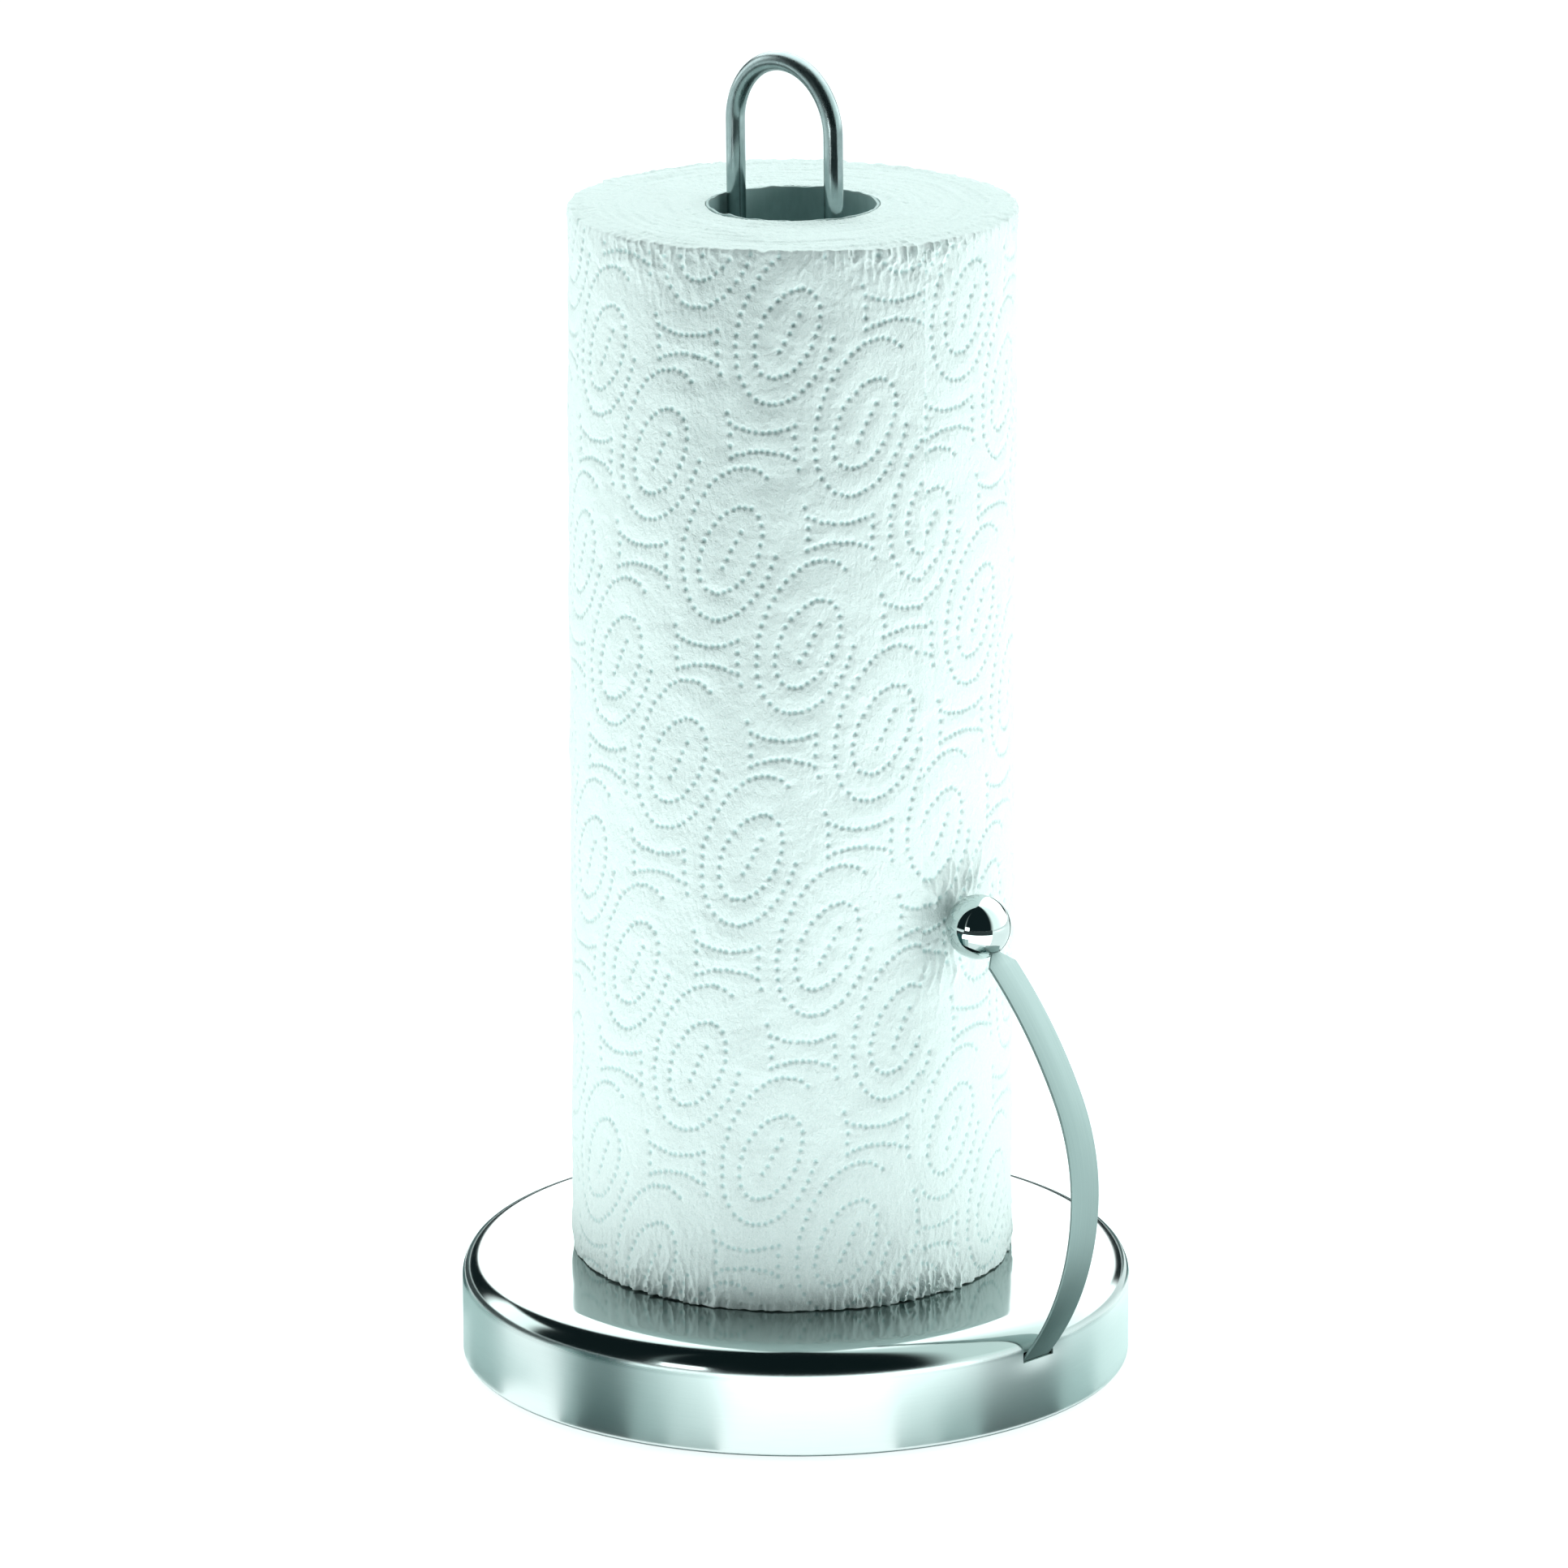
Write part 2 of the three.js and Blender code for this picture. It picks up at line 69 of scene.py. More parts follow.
# Base cover
SHEET = 0.7
SHOULDER_RADIUS = 7.8
HEM_RADIUS = 1.5
HEM_LIP = 6
SLIT_WIDTH = 11.2
SLIT_LOW_Z = 18.5
SLIT_HIGH_Z = 21.4
SLIT_DRAW_DEPTH = 0.35
SLIT_DRAW_HALF = (8.0, 3.2)
# The brushed skirt turns into polish, and its painted light into the top's painted shade, from this far
# below the slit's top edge to this far above it.
SATIN_EDGE = (0.5, 2.5)
CENTRE_RADIUS = 1

# Spindle wire and its threaded ends
WIRE_RADIUS = 2.5
STUD_RADIUS = 2
STUD_CHAMFER = 0.4
STUD_STEP = 0.05
WIRE_CHAMFER = 0.3
STRAIGHT_START = 2
WIRE_LEAN = (-2.4, -2.3)
# The arch is duller than the legs, from the first to the second of these depths below its top.
DULL_ARCH = (24, 8)

# Spring arm
STRIP_THICKNESS = 0.8
STRIP_EDGE_RADIUS = 0.25
SLIT_LEAN_DEG = 38
SLIT_CROSSING_Z = 20.7
ARM_BOW = [(72.5, 0), (55, -27.5), (117.5, -45.8)]
ROOT_FLAT_Z = 8.9
ROOT_BEND_RADIUS = 8
NECK_WIDTH = 3
NECK_CHAMFER = 3.5
SHOULDER_TO_BALL = 11.9
TANG_DEPTH = 4
BALL_SLOT_DEPTH = 4.4
BALL_SLOT_ROOM = 0.3
BALL_SLOT_LIP = 0.12
BALL_SLOT_SQUARENESS = 6.0
BALL_SLOT_FLOOR = (0.85, 0.98, 1.0)

# Cardboard core, wound from a spiral strip whose edge shows as a groove in the bore
CORE_WALL = 0.8
CORE_ROOM = 0.05
CORE_BORE_ROOM = 0.1
CORE_FOOT_GAP = 0.2
CORE_TOP_GAP = 0.15
PLY_PITCH = 95.0
PLY_GROOVE_DEPTH = 0.18
PLY_GROOVE_TURNS = 0.012
BOARD_RELIEF = 0.05
BOARD_LUMP = 6
BOARD_GRID = (1.75, 0.57)
CUT_FLUFF = (0.8, 0.3)
CUT_LUMP = 3
CUT_RAGGEDNESS = 0.125
FOOT_RAGGEDNESS = 0.075

# Paper: one sheet edge ends on the outside, and the layer below it shows beyond
SHEET_END_DEG = -10.3
LAYER_STEP = 0.35
FREE_EDGE_LIFT = 0.3
FREE_EDGE_REACH = 3.0
LOOSENESS = {"mean": 0.6, "spread": 0.4, "size": 22, "range": (0.15, 1.4)}
PAPER_GRID = 0.38
PAPER_CORNER = 0.6
FOOT_CORNER = 0.15
FOOT_SAG = 0.25
FOOT_ROUGHNESS = 0.45
BORE_GAP = 0.06
BORE_ROUNDING = 0.15
BORE_LEVELS = (0.995, 0.5, 0.005)
FACE_GRID = 0.5
# The wall's own rows stop this far from the roundings at the foot and at the top.
WALL_MARGIN = (0.1, 0.6)
CORNER_RINGS_DEG = (60, 30)

# How fast waves shorter than its features fade out of smooth noise
NOISE_FALLOFF = 2.5

# Relief of the sheet, as (depth, (up, around) size of its features)
WALL_RELIEF = ((0.03, (0.8, 0.8)), (0.055, (3.5, 5.0)), (0.12, (9, 13)), (0.12, (60, 34)))
FACE_RELIEF = ((0.13, (1.1, 22)), (0.12, (4.0, 50)), (0.05, (1.1, 1.8)))
FACE_SINK = 0.3
# Ragged edge of the flat ends, as (depth, size along the edge)
RAGGED_EDGE = ((0.12, 20), (0.2, 2.5))
RAGGED_CROWDING = 6

# Embossed pattern: tilted open ovals with a stroke in each, and waisted panels between them
DOT_RADIUS = 0.68
DOT_DEPTH = 0.62
DOT_SQUARENESS = 3
DOT_SCATTER = 0.10
RIM_RADIUS = 1.15
RIM_HEIGHT = 0.1
RIM_SQUARENESS = 5
DOT_PITCH_ACROSS = 1.55
DOT_PITCH_UP = 2.65
STEEP_LINE = 0.8
STAMP_REACH = 2.2
TRENCH_RADIUS = 2.1
TRENCH_DEPTH = 0.27
TRENCH_SQUARENESS = 2
MOTIF_STEP_A = (19.9, -23.7)
MOTIF_STEP_B = (5.2, -80.1)
MOTIF_START = (-31.8, 178.0)
MOTIF_RANGE_A = (-26, 8)
MOTIF_RANGE_B = (-10, 14)
MOTIF_REACH = 40
OUTER_OVAL = {"half": (12.0, 20.6), "tilt": 18, "lift": 1.7, "span": (72, 362)}
INNER_OVAL = {"half": (7.0, 12.3), "tilt": 27, "lift": 0, "span": (0, 360)}
STROKE = ((3.0, 4.9), (1.6, 2.4), (0.4, 0.0), (-0.7, -2.4), (-2.0, -4.6))
PANEL_OFFSET = (8.4, 28.5)
PANEL_HALF = (8.3, 4.35)
PANEL_SAG = 1.9
PANEL_TAIL = 0.8

# Small upright creases where the roll's ends are crushed, as (height, (up, around) size, sharpness)
CREASES = ((0.72, (7, 2.2), 2.2), (0.45, (3.2, 1.5), 2.0))
CREASE_LEVEL = 0.45
FOOT_CRUSH_REACH = 9.0
TOP_CRUSH_REACH = 7.5
CRUSHED_DOTS = 0.4
CRUSH_PATCH = {"size": (70, 26), "mean": 0.6, "spread": 0.4, "range": (0.3, 1.2)}
END_ROUNDING = 0.25
FOOT_ROUNDING_REACH = 2.0
TOP_ROUNDING_REACH = 1.6
# Where hands have crushed the ends most: (right of the sheet's end, width)
GRIPPED = ((-70, 20), (-8, 12), (8, 9))
GRIP_STRENGTH = 0.9

# Folds that fan up and down from the ball, and the dent under it
FOLD_COUNT = 9
FOLD_SPREAD = 8
FOLD_SCATTER = 0.5
FOLD_FAN = 0.035
FOLD_WIDTH = 0.62
FOLD_SWAY = 0.5
FOLD_SWAY_LENGTH = (1.2, 2.2)
FOLD_SWAY_PHASE = (0, 6)
FOLD_START = (5.5, 7.0)
FOLD_LEAD = 2
FOLD_REACH = (4, 9)
FOLD_HEIGHT = (0.5, 0.95)
DENT_RADIUS = 4.0
DENT_DEPTH = 0.15

# Fineness of the meshes
SLIT_COLUMNS = 9
ROUND_COLUMNS = 401
SKIRT_ROWS = 12
SLIT_ROWS = 5
HEM_STEPS = 6
SHOULDER_STEPS = 24
TOP_ROWS = 40
WIRE_SIDES = 40
LEG_ROWS = 30
ARCH_STEPS = 64
STATION_PITCH = 1.5
EDGE_STEPS = 3
BALL_SIDES = 96
BALL_ROWS = 49
BALL_CROWDING = 1.15
BALL_END_DEG = 179
CORE_SIDES = 240
CORE_ROWS = 160
OVAL_POINTS = 721
PANEL_POINTS = 60
CARD_COLUMNS = 73
MIRROR_COLUMNS = 17
MIRROR_ROWS = 9

# Edges sharper than this stay sharp under smooth shading.
SHARP_DEG = {"cover": 40, "wire": 40, "strip": 20, "ball": 45, "core": 50, "paper": 58}

SEED = 7


# ---- Small helpers ----

def smooth_noise(rng, shape, spacing, size):
    """Random relief of zero mean and unit spread whose features are about size long, per axis."""
    rows, columns = shape
    spectrum = np.fft.rfft2(rng.standard_normal((rows, columns)))
    row_waves = np.fft.fftfreq(rows, spacing[0])[:, None] * size[0]
    column_waves = np.fft.rfftfreq(columns, spacing[1])[None, :] * size[1]
    spectrum *= np.exp(-NOISE_FALLOFF * (row_waves**2 + column_waves**2))
    relief = np.fft.irfft2(spectrum, s=shape)
    relief -= relief.mean()
    return relief / relief.std()


def arc(centre, radius, from_deg, to_deg, steps):
    """Points of an arc as (x, z), both ends included."""
    angles = np.radians(np.linspace(from_deg, to_deg, steps + 1))
    return np.stack([centre[0] + radius * np.cos(angles), centre[1] + radius * np.sin(angles)], 1)


def make_mesh(name, points, quads, caps=(), body=None):
    """A smooth mesh object from points in millimetres, faces of four corners and wider caps."""
    quads = np.asarray(quads, np.int32)
    loops = np.concatenate([quads.ravel(), *caps]).astype(np.int32)
    sizes = [4] * len(quads) + [len(cap) for cap in caps]
    starts = np.concatenate([[0], np.cumsum(sizes)[:-1]]).astype(np.int32)
    mesh = bpy.data.meshes.new(name)
    mesh.vertices.add(len(points))
    mesh.vertices.foreach_set("co", (np.asarray(points) * MM).astype(np.float32).ravel())
    mesh.loops.add(len(loops))
    mesh.loops.foreach_set("vertex_index", loops)
    mesh.polygons.add(len(starts))
    mesh.polygons.foreach_set("loop_start", starts)
    mesh.update(calc_edges=True)
    mesh.validate()
    mesh.shade_smooth()
    made = bpy.data.objects.new(name, mesh)
    bpy.context.scene.collection.objects.link(made)
    if body:
        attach(made, body)
    return made


def ring_quads(index):
    """Faces between neighbouring rows of points that each close on themselves."""
    low, high = index[:-1], index[1:]
    return np.stack([low, np.roll(low, -1, 1), np.roll(high, -1, 1), high], 2)


def ring_mesh(name, rows, sharp_deg, body=None, loop=False):
    """A mesh from rows of points that each close on themselves, anticlockwise seen from the
    last row. It is capped at both ends, or with loop its last row joins the first."""
    rows = np.asarray(rows, float)
    index = np.arange(rows.shape[0] * rows.shape[1]).reshape(rows.shape[:2])
    caps = [] if loop else [index[0][::-1], index[-1]]
    if loop:
        index = np.vstack([index, index[:1]])
    made = make_mesh(name, rows.reshape(-1, 3), ring_quads(index).reshape(-1, 4), caps, body)
    made.data.set_sharp_from_angle(angle=math.radians(sharp_deg))
    return made


def whole_turn(count):
    """Even angles once around."""
    return np.arange(count) * 2 * np.pi / count


def cad_box(node):
    low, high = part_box(node)
    return np.array(low) / MM, np.array(high) / MM


# ---- Places taken from the frame ----

cover_low, cover_high = cad_box("base_cover")
paper_low, paper_high = cad_box("paper_roll")
core_low, core_high = cad_box("cardboard_core")
loop_low, loop_high = cad_box("spindle_loop")
ball_low, ball_high = cad_box("arm_ball")
root_low, root_high = cad_box("arm_root")

BASE_RADIUS = cover_high[0]
HEM_Z = cover_low[2]
TOP_Z = cover_high[2]
ROLL_X = (paper_low[0] + paper_high[0]) / 2
ROLL_RADIUS = (paper_high[0] - paper_low[0]) / 2
ROLL_LOW_Z = paper_low[2]
ROLL_HIGH_Z = paper_high[2]
CORE_RADIUS = (core_high[0] - core_low[0]) / 2
LEG_X = loop_high[0] - WIRE_RADIUS
LOOP_TOP_Z = loop_high[2]
STUD_END_Z = loop_low[2]
BALL_RADIUS = (ball_high[2] - ball_low[2]) / 2
BALL_CENTRE = (ball_low + ball_high) / 2
STRIP_WIDTH = root_high[1] - root_low[1]
ROOT_INNER_X = root_low[0]


# ---- Materials ----

class Tree:
    """A node tree, and short calls to add nodes to it."""

    def __init__(self, tree):
        self.tree = tree

    def node(self, kind, **inputs):
        made = self.tree.nodes.new(kind)
        for name, value in inputs.items():
            made.inputs[name].default_value = value
        return made

    def link(self, source, target):
        self.tree.links.new(source, target)

    def math(self, operation, a, b=None):
        made = self.node("ShaderNodeMath")
        made.operation = operation
        for socket, value in zip(made.inputs, (a, b)):
            if isinstance(value, (int, float)):
                socket.default_value = value
            elif value is not None:
                self.link(value, socket)
        return made.outputs["Value"]

    def mix(self, factor, low, high):
        made = self.node("ShaderNodeMix")
        made.data_type = "RGBA"
        self.link(factor, made.inputs["Factor"])
        for socket, colour in ((made.inputs["A"], low), (made.inputs["B"], high)):
            if isinstance(colour, tuple):
                socket.default_value = (*colour, 1)
            else:
                self.link(colour, socket)
        return made.outputs["Result"]


class Nodes(Tree):
    """A node material with a Principled shader, and short calls to add what drives it."""

    def __init__(self, name, colour, roughness, metallic=0.0):
        self.material = bpy.data.materials.new(name)
        self.material.use_nodes = True
        super().__init__(self.material.node_tree)
        self.shader = self.tree.nodes["Principled BSDF"]
        self.shader.inputs["Base Color"].default_value = (*colour, 1)
        self.shader.inputs["Roughness"].default_value = roughness
        self.shader.inputs["Metallic"].default_value = metallic
        self.place = self.node("ShaderNodeTexCoord").outputs["Object"]

    def noise(self, scale, detail=3.0, stretch=(1, 1, 1)):
        """Noise whose features are about 1/scale metres, stretched along the axes."""
        mapping = self.node("ShaderNodeMapping", Scale=stretch)
        self.link(self.place, mapping.inputs["Vector"])
        texture = self.node("ShaderNodeTexNoise", Scale=scale, Detail=detail)
        self.link(mapping.outputs["Vector"], texture.inputs["Vector"])
        return texture.outputs["Fac"]

    def attribute(self, name):
        made = self.node("ShaderNodeAttribute")
        made.attribute_name = name
        return made.outputs["Fac"]

    def height(self):
        made = self.node("ShaderNodeSeparateXYZ")
        self.link(self.place, made.inputs["Vector"])
        return made.outputs["Z"]

    def spread(self, value, from_low, from_high, to_low, to_high):
        limits = {"From Min": from_low, "From Max": from_high, "To Min": to_low, "To Max": to_high}
        made = self.node("ShaderNodeMapRange", **limits)
        self.link(value, made.inputs["Value"])
        return made.outputs["Result"]

    def add(self, a, b):
        return self.math("ADD", a, b)

    def glow(self, colour, strength):
        self.shader.inputs["Emission Color"].default_value = (*colour, 1)
        self.shader.inputs["Emission Strength"].default_value = strength

    def colour(self, value):
        self.link(value, self.shader.inputs["Base Color"])

    def roughness(self, value):
        self.link(value, self.shader.inputs["Roughness"])

    def bump(self, value, strength, distance):
        made = self.node("ShaderNodeBump", Strength=strength, Distance=distance)
        self.link(value, made.inputs["Height"])
        previous = self.shader.inputs["Normal"].links
        if previous:
            self.link(previous[0].from_socket, made.inputs["Normal"])
        self.link(made.outputs["Normal"], self.shader.inputs["Normal"])


# Linear colours
# One steel sheet in two colours: the top's darker steel is painted shade that dims its reflections, and the
# skirt's far lighter steel is painted light that brightens its reflections
SHADED_STEEL = (0.35, 0.42, 0.41)
SHADED_STEEL_DARK = (0.33, 0.40, 0.39)
LIT_SATIN = (0.86, 0.92, 0.91)
LIT_SATIN_DARK = (0.79, 0.86, 0.85)
CHROME = (0.58, 0.65, 0.64)
CHROME_DARK = (0.52, 0.59, 0.58)
WIRE = (0.32, 0.40, 0.40)
WIRE_DARK = (0.20, 0.265, 0.265)
STRIP = (0.31, 0.40, 0.39)
STRIP_DARK = (0.285, 0.375, 0.365)
IRON = (0.035, 0.037, 0.040)
IRON_RUST = (0.060, 0.050, 0.042)
ZINC = (0.42, 0.45, 0.46)
ZINC_DARK = (0.30, 0.33, 0.35)
FOAM = (0.010, 0.011, 0.012)
FOAM_PALE = (0.022, 0.024, 0.025)
BOARD = (0.50, 0.66, 0.65)
BOARD_DARK = (0.38, 0.53, 0.52)
BOARD_CUT = (0.50, 0.61, 0.60)
PAPER = (0.83, 0.905, 0.89)
PAPER_SHADE = (0.73, 0.83, 0.815)
# Darker paper in the emboss dots: partly the pressed paper's own tone, partly painted shade in their hollows
DOT_TONE_AND_SHADE = (0.56, 0.73, 0.72)
TABLE = (0.45, 0.46, 0.46)
TABLE_GLOW = (0.92, 1.0, 1.0)
TABLE_GLOW_STRENGTH = 0.9
DARK_FELT = (0.010, 0.020, 0.022)
GREY_FELT = (0.07, 0.11, 0.11)
SKIRT_CARD = (0.02, 0.075, 0.075)
SOFT_CARD = (0.42, 0.56, 0.55)
FADE_CARD = (0.80, 0.92, 0.91)
FRONT_GLOW = (2.45, 2.7, 2.69)

# Light, linear and in the table's own scale
BACKDROP = (1.2, 1.2, 1.2)
SIDE_LIGHT = (0.295, 0.405, 0.395)
BACK_LIGHT = (0.53, 0.635, 0.625)
FAR_LIGHT = (0.30, 0.41, 0.40)
SIDE_SHINE = (1.4, 1.6, 1.57)
BACK_SHINE = (3.1, 3.15, 3.15)
WINDOW_SHINE = (4.4, 4.4, 4.4)
DARK_ROOM = (0.010, 0.020, 0.022)

# The room around, in degrees round from the camera's side. Each pair is where a change of light
# starts and ends.
DARK_EDGE = (58, 42)
DARK_TILT = 6
SIDE_TO_BACK = (70, 130)
BACK_TO_FAR = (140, 170)
# What only reflections show of it: a dark room on the left under a sloping roof, with one soft
# light in it, and a dark far wall on the right
LEFT_ROOM_START = (44, 52)
ROOF_SLOPE = 0.88
ROOF_EDGE = (1.045, 0.995)
LEFT_LIGHT_START = (96, 104)
LEFT_LIGHT_END = (134, 124)
LEFT_LIGHT_RISE = (29, 25)
FAR_WALL_START = (138, 146)
FAR_WALL_RISE = (13, 9)

SOFTBOXES = {
    # name: (place, height it aims at, size, power, colour), placed as the camera sees it
    "left_softbox": ((-1500, 150, 260), 160, 500, 6.5, (0.96, 1, 0.985)),
    "right_softbox": ((1500, -150, 160), 140, 900, 11.5, (0.96, 1, 0.985)),
    "low_left_softbox": ((-1150, -700, 90), 140, 400, 3, (0.96, 1, 0.985)),
    "low_right_softbox": ((1250, -500, 60), 110, 700, 6.2, (0.96, 1, 0.985)),
    "top_softbox": ((0, 300, 1600), 300, 900, 16, (0.95, 1, 0.99)),
}
TABLE_HALF = 20000
CARD_LEVEL = 0.4
TABLE_CARDS = {
    # name: (from bearing, to bearing, near, far, colour, glow), flat on the table round the base
    "front_dark": (-50, 50, 520, 19000, DARK_FELT, None),
    "front_bright": (-50, 50, 175, 520, TABLE, FRONT_GLOW),
    "left_far_dark": (-142, -50, 170, 1000, DARK_FELT, None),
    "back_dark": (142, 218, 130, 1000, GREY_FELT, None),
    # A grey ring on the table under the hem, seen only in reflections: painted shadow of the base's contact
    # with the table, which the hem mirrors as a thin line
    "hem_shadow": (-180, 180, 80, 88, SOFT_CARD, None),
}
SKIRT_CARDS = (
    # (from bearing, to bearing, near, far, colour) as the skirt shows them
    (-76, -60, 4, 100, SOFT_CARD),
    (-44, -40, 2, 200, SOFT_CARD),
    (-40, -29, 2, 400, SKIRT_CARD),
    (-29, -22, 2, 150, SOFT_CARD),
    (-22, -13, 2, 150, FADE_CARD),
    (17, 25, 2, 64, FADE_CARD),
    (25, 33, 2, 64, SOFT_CARD),
    (33, 51, 2, 76, SKIRT_CARD),
    (51, 62, 2, 64, SOFT_CARD),
    (62, 88, 2, 64, FADE_CARD),
)
BACK_CARD_REACH = 85
WINDOW = {"bearing": -37, "rise": 4.5, "width": 15, "height": 11, "reach": 1200}


def cover_material():
    """Mirror-finish top and shoulder over a skirt brushed around. The skirt's steel is a little greyer in
    hue and far lighter than the top's: painted light that brightens the skirt's reflections, and painted
    shade that dims the top's.
    """
    m = Nodes("pressed_steel", SHADED_STEEL, 0.1, metallic=1.0)
    satin_end, polish_start = SLIT_HIGH_Z - SATIN_EDGE[0], SLIT_HIGH_Z + SATIN_EDGE[1]
    skirt = m.spread(m.height(), satin_end * MM, polish_start * MM, 1.0, 0.0)
    brushed = m.noise(90, 5, stretch=(1, 1, 60))
    # Painted shade in the top's darker steel and painted light in the skirt's lighter steel; the noise in
    # each is the metal's own tone
    shaded_polish = m.mix(m.noise(60, 4), SHADED_STEEL, SHADED_STEEL_DARK)
    lit_satin = m.mix(brushed, LIT_SATIN, LIT_SATIN_DARK)
    m.colour(m.mix(skirt, shaded_polish, lit_satin))
    smooth = m.spread(brushed, 0.3, 0.7, 0.10, 0.12)
    m.roughness(m.add(smooth, m.spread(skirt, 0.0, 1.0, 0.0, 0.24)))
    m.bump(brushed, 0.01, 0.0002)
    return m.material


def wire_material():
    m = Nodes("bright_wire", WIRE, 0.15, metallic=1.0)
    drawn = m.noise(600, 4, stretch=(6, 6, 0.3))
    m.colour(m.mix(m.noise(400, 3), WIRE, WIRE_DARK))
    legs_end, arch_start = (LOOP_TOP_Z - depth for depth in DULL_ARCH)
    arch = m.spread(m.height(), legs_end * MM, arch_start * MM, 0.0, 0.16)
    m.roughness(m.add(m.spread(drawn, 0.3, 0.7, 0.10, 0.20), arch))
    m.bump(drawn, 0.08, 0.0002)
    return m.material


def strip_material():
    m = Nodes("satin_strip", STRIP, 0.34, metallic=1.0)
    rolled = m.noise(120, 4, stretch=(0.25, 30, 0.25))
    m.colour(m.mix(rolled, STRIP, STRIP_DARK))
    m.roughness(m.spread(rolled, 0.3, 0.7, 0.50, 0.58))
    m.bump(rolled, 0.04, 0.0002)
    return m.material


def chrome_material():
    m = Nodes("ball_chrome", CHROME, 0.03, metallic=1.0)
    haze = m.noise(300, 4)
    m.colour(m.mix(haze, CHROME, CHROME_DARK))
    m.roughness(m.spread(haze, 0.35, 0.75, 0.02, 0.06))
    return m.material


def iron_material():
    m = Nodes("cast_iron", IRON, 0.8, metallic=0.6)
    m.colour(m.mix(m.noise(90, 5), IRON, IRON_RUST))
    sand = m.noise(1400, 4)
    m.roughness(m.spread(sand, 0.3, 0.7, 0.65, 0.9))
    m.bump(sand, 0.5, 0.0004)
    return m.material


def zinc_material():
    m = Nodes("zinc_plate", ZINC, 0.4, metallic=1.0)
    spangle = m.noise(260, 2)
    m.colour(m.mix(spangle, ZINC, ZINC_DARK))
    m.roughness(m.spread(spangle, 0.3, 0.7, 0.32, 0.5))
    m.bump(m.noise(2600, 3), 0.1, 0.0001)
    return m.material


def foam_material():
    m = Nodes("foam_rubber", FOAM, 0.92)
    pores = m.noise(1800, 2)
    m.colour(m.mix(pores, FOAM, FOAM_PALE))
    m.roughness(m.spread(pores, 0.3, 0.7, 0.85, 0.98))
    m.bump(pores, 0.6, 0.0003)
    return m.material


def board_material():
    """Grey board whose cut top edge is pale with paper fluff."""
    m = Nodes("core_board", BOARD, 0.9)
    fibres = m.noise(500, 5, stretch=(1, 1, 0.4))
    fluff_start, fluff_full = (ROLL_HIGH_Z - depth for depth in CUT_FLUFF)
    edge = m.spread(m.height(), fluff_start * MM, fluff_full * MM, 0.0, 1.0)
    m.colour(m.mix(edge, m.mix(fibres, BOARD, BOARD_DARK), BOARD_CUT))
    m.roughness(m.spread(fibres, 0.3, 0.7, 0.82, 0.95))
    m.bump(fibres, 0.3, 0.0003)
    return m.material


def paper_material():
    """Soft two-ply tissue: crepe, fibres, and the emboss dots a little darker, partly the pressed paper's
    own tone and partly painted shade in their hollows.
    """
    m = Nodes("towel_paper", PAPER, 0.95)
    crepe = m.noise(700, 4, stretch=(1, 1, 0.6))
    fibres = m.noise(2400, 4)
    plain = m.mix(m.spread(fibres, 0.3, 0.7, 0, 1), PAPER, PAPER_SHADE)
    # Painted shade in the dots' hollows, together with the pressed paper's own darker tone
    m.colour(m.mix(m.spread(m.attribute("emboss"), 0.25, 1.0, 0.0, 1.0), plain, DOT_TONE_AND_SHADE))
    m.bump(crepe, 0.8, 0.0005)
    m.bump(fibres, 0.6, 0.0003)
    return m.material


# ---- Base cover ----

def cover_profile(inset):
    """Half of the cover's section from the hem's lip to the top, moved inwards by inset, and
    the rows of it that are beside the slit."""
    shoulder = (BASE_RADIUS - SHOULDER_RADIUS, TOP_Z - SHOULDER_RADIUS)
    hem = (BASE_RADIUS - HEM_RADIUS, HEM_Z + HEM_RADIUS)
    lip_radius = BASE_RADIUS - HEM_LIP
    lip = [[lip_radius, HEM_Z + inset], [(lip_radius + hem[0]) / 2, HEM_Z + inset]]
    hem_curve = arc(hem, HEM_RADIUS - inset, -90, 0, HEM_STEPS)
    skirt_low = np.linspace(hem[1], SLIT_LOW_Z, SKIRT_ROWS)[1:-1]
    slit = np.linspace(SLIT_LOW_Z, SLIT_HIGH_Z, SLIT_ROWS)
    skirt = np.array([[BASE_RADIUS - inset, z] for z in (*skirt_low, *slit)])
    shoulder_curve = arc(shoulder, SHOULDER_RADIUS - inset, 0, 90, SHOULDER_STEPS)
    top_radii = np.linspace(shoulder[0], CENTRE_RADIUS, TOP_ROWS)[1:]
    top = np.stack([top_radii, np.full(len(top_radii), TOP_Z - inset)], 1)
    first_slit_row = len(lip) + len(hem_curve) + len(skirt_low)
    return np.vstack([lip, hem_curve, skirt, shoulder_curve, top]), first_slit_row + np.arange(SLIT_ROWS)


def cover_angles():
    """Column angles: close together across the slit, then even all the way round."""
    half = math.asin(SLIT_WIDTH / 2 / BASE_RADIUS)
    inside = np.linspace(-half, half, SLIT_COLUMNS)
    outside = np.linspace(half, 2 * np.pi - half, ROUND_COLUMNS)[1:-1]
    return np.concatenate([inside, outside])


def slit_walls(index, rows, last):
    """Faces through the sheet at the slit's two ends, its bottom and its top."""
    inner = index[::-1]
    faces = []
    for a, b in zip(rows[:-1], rows[1:]):
        faces.append([index[a, 0], index[b, 0], inner[b, 0], inner[a, 0]])
        faces.append([index[a, last], inner[a, last], inner[b, last], index[b, last]])
    bottom, top = rows[0], rows[-1]
    for j in range(last):
        faces.append([index[bottom, j + 1], index[bottom, j], inner[bottom, j], inner[bottom, j + 1]])
        faces.append([index[top, j], index[top, j + 1], inner[top, j + 1], inner[top, j]])
    return np.array(faces)


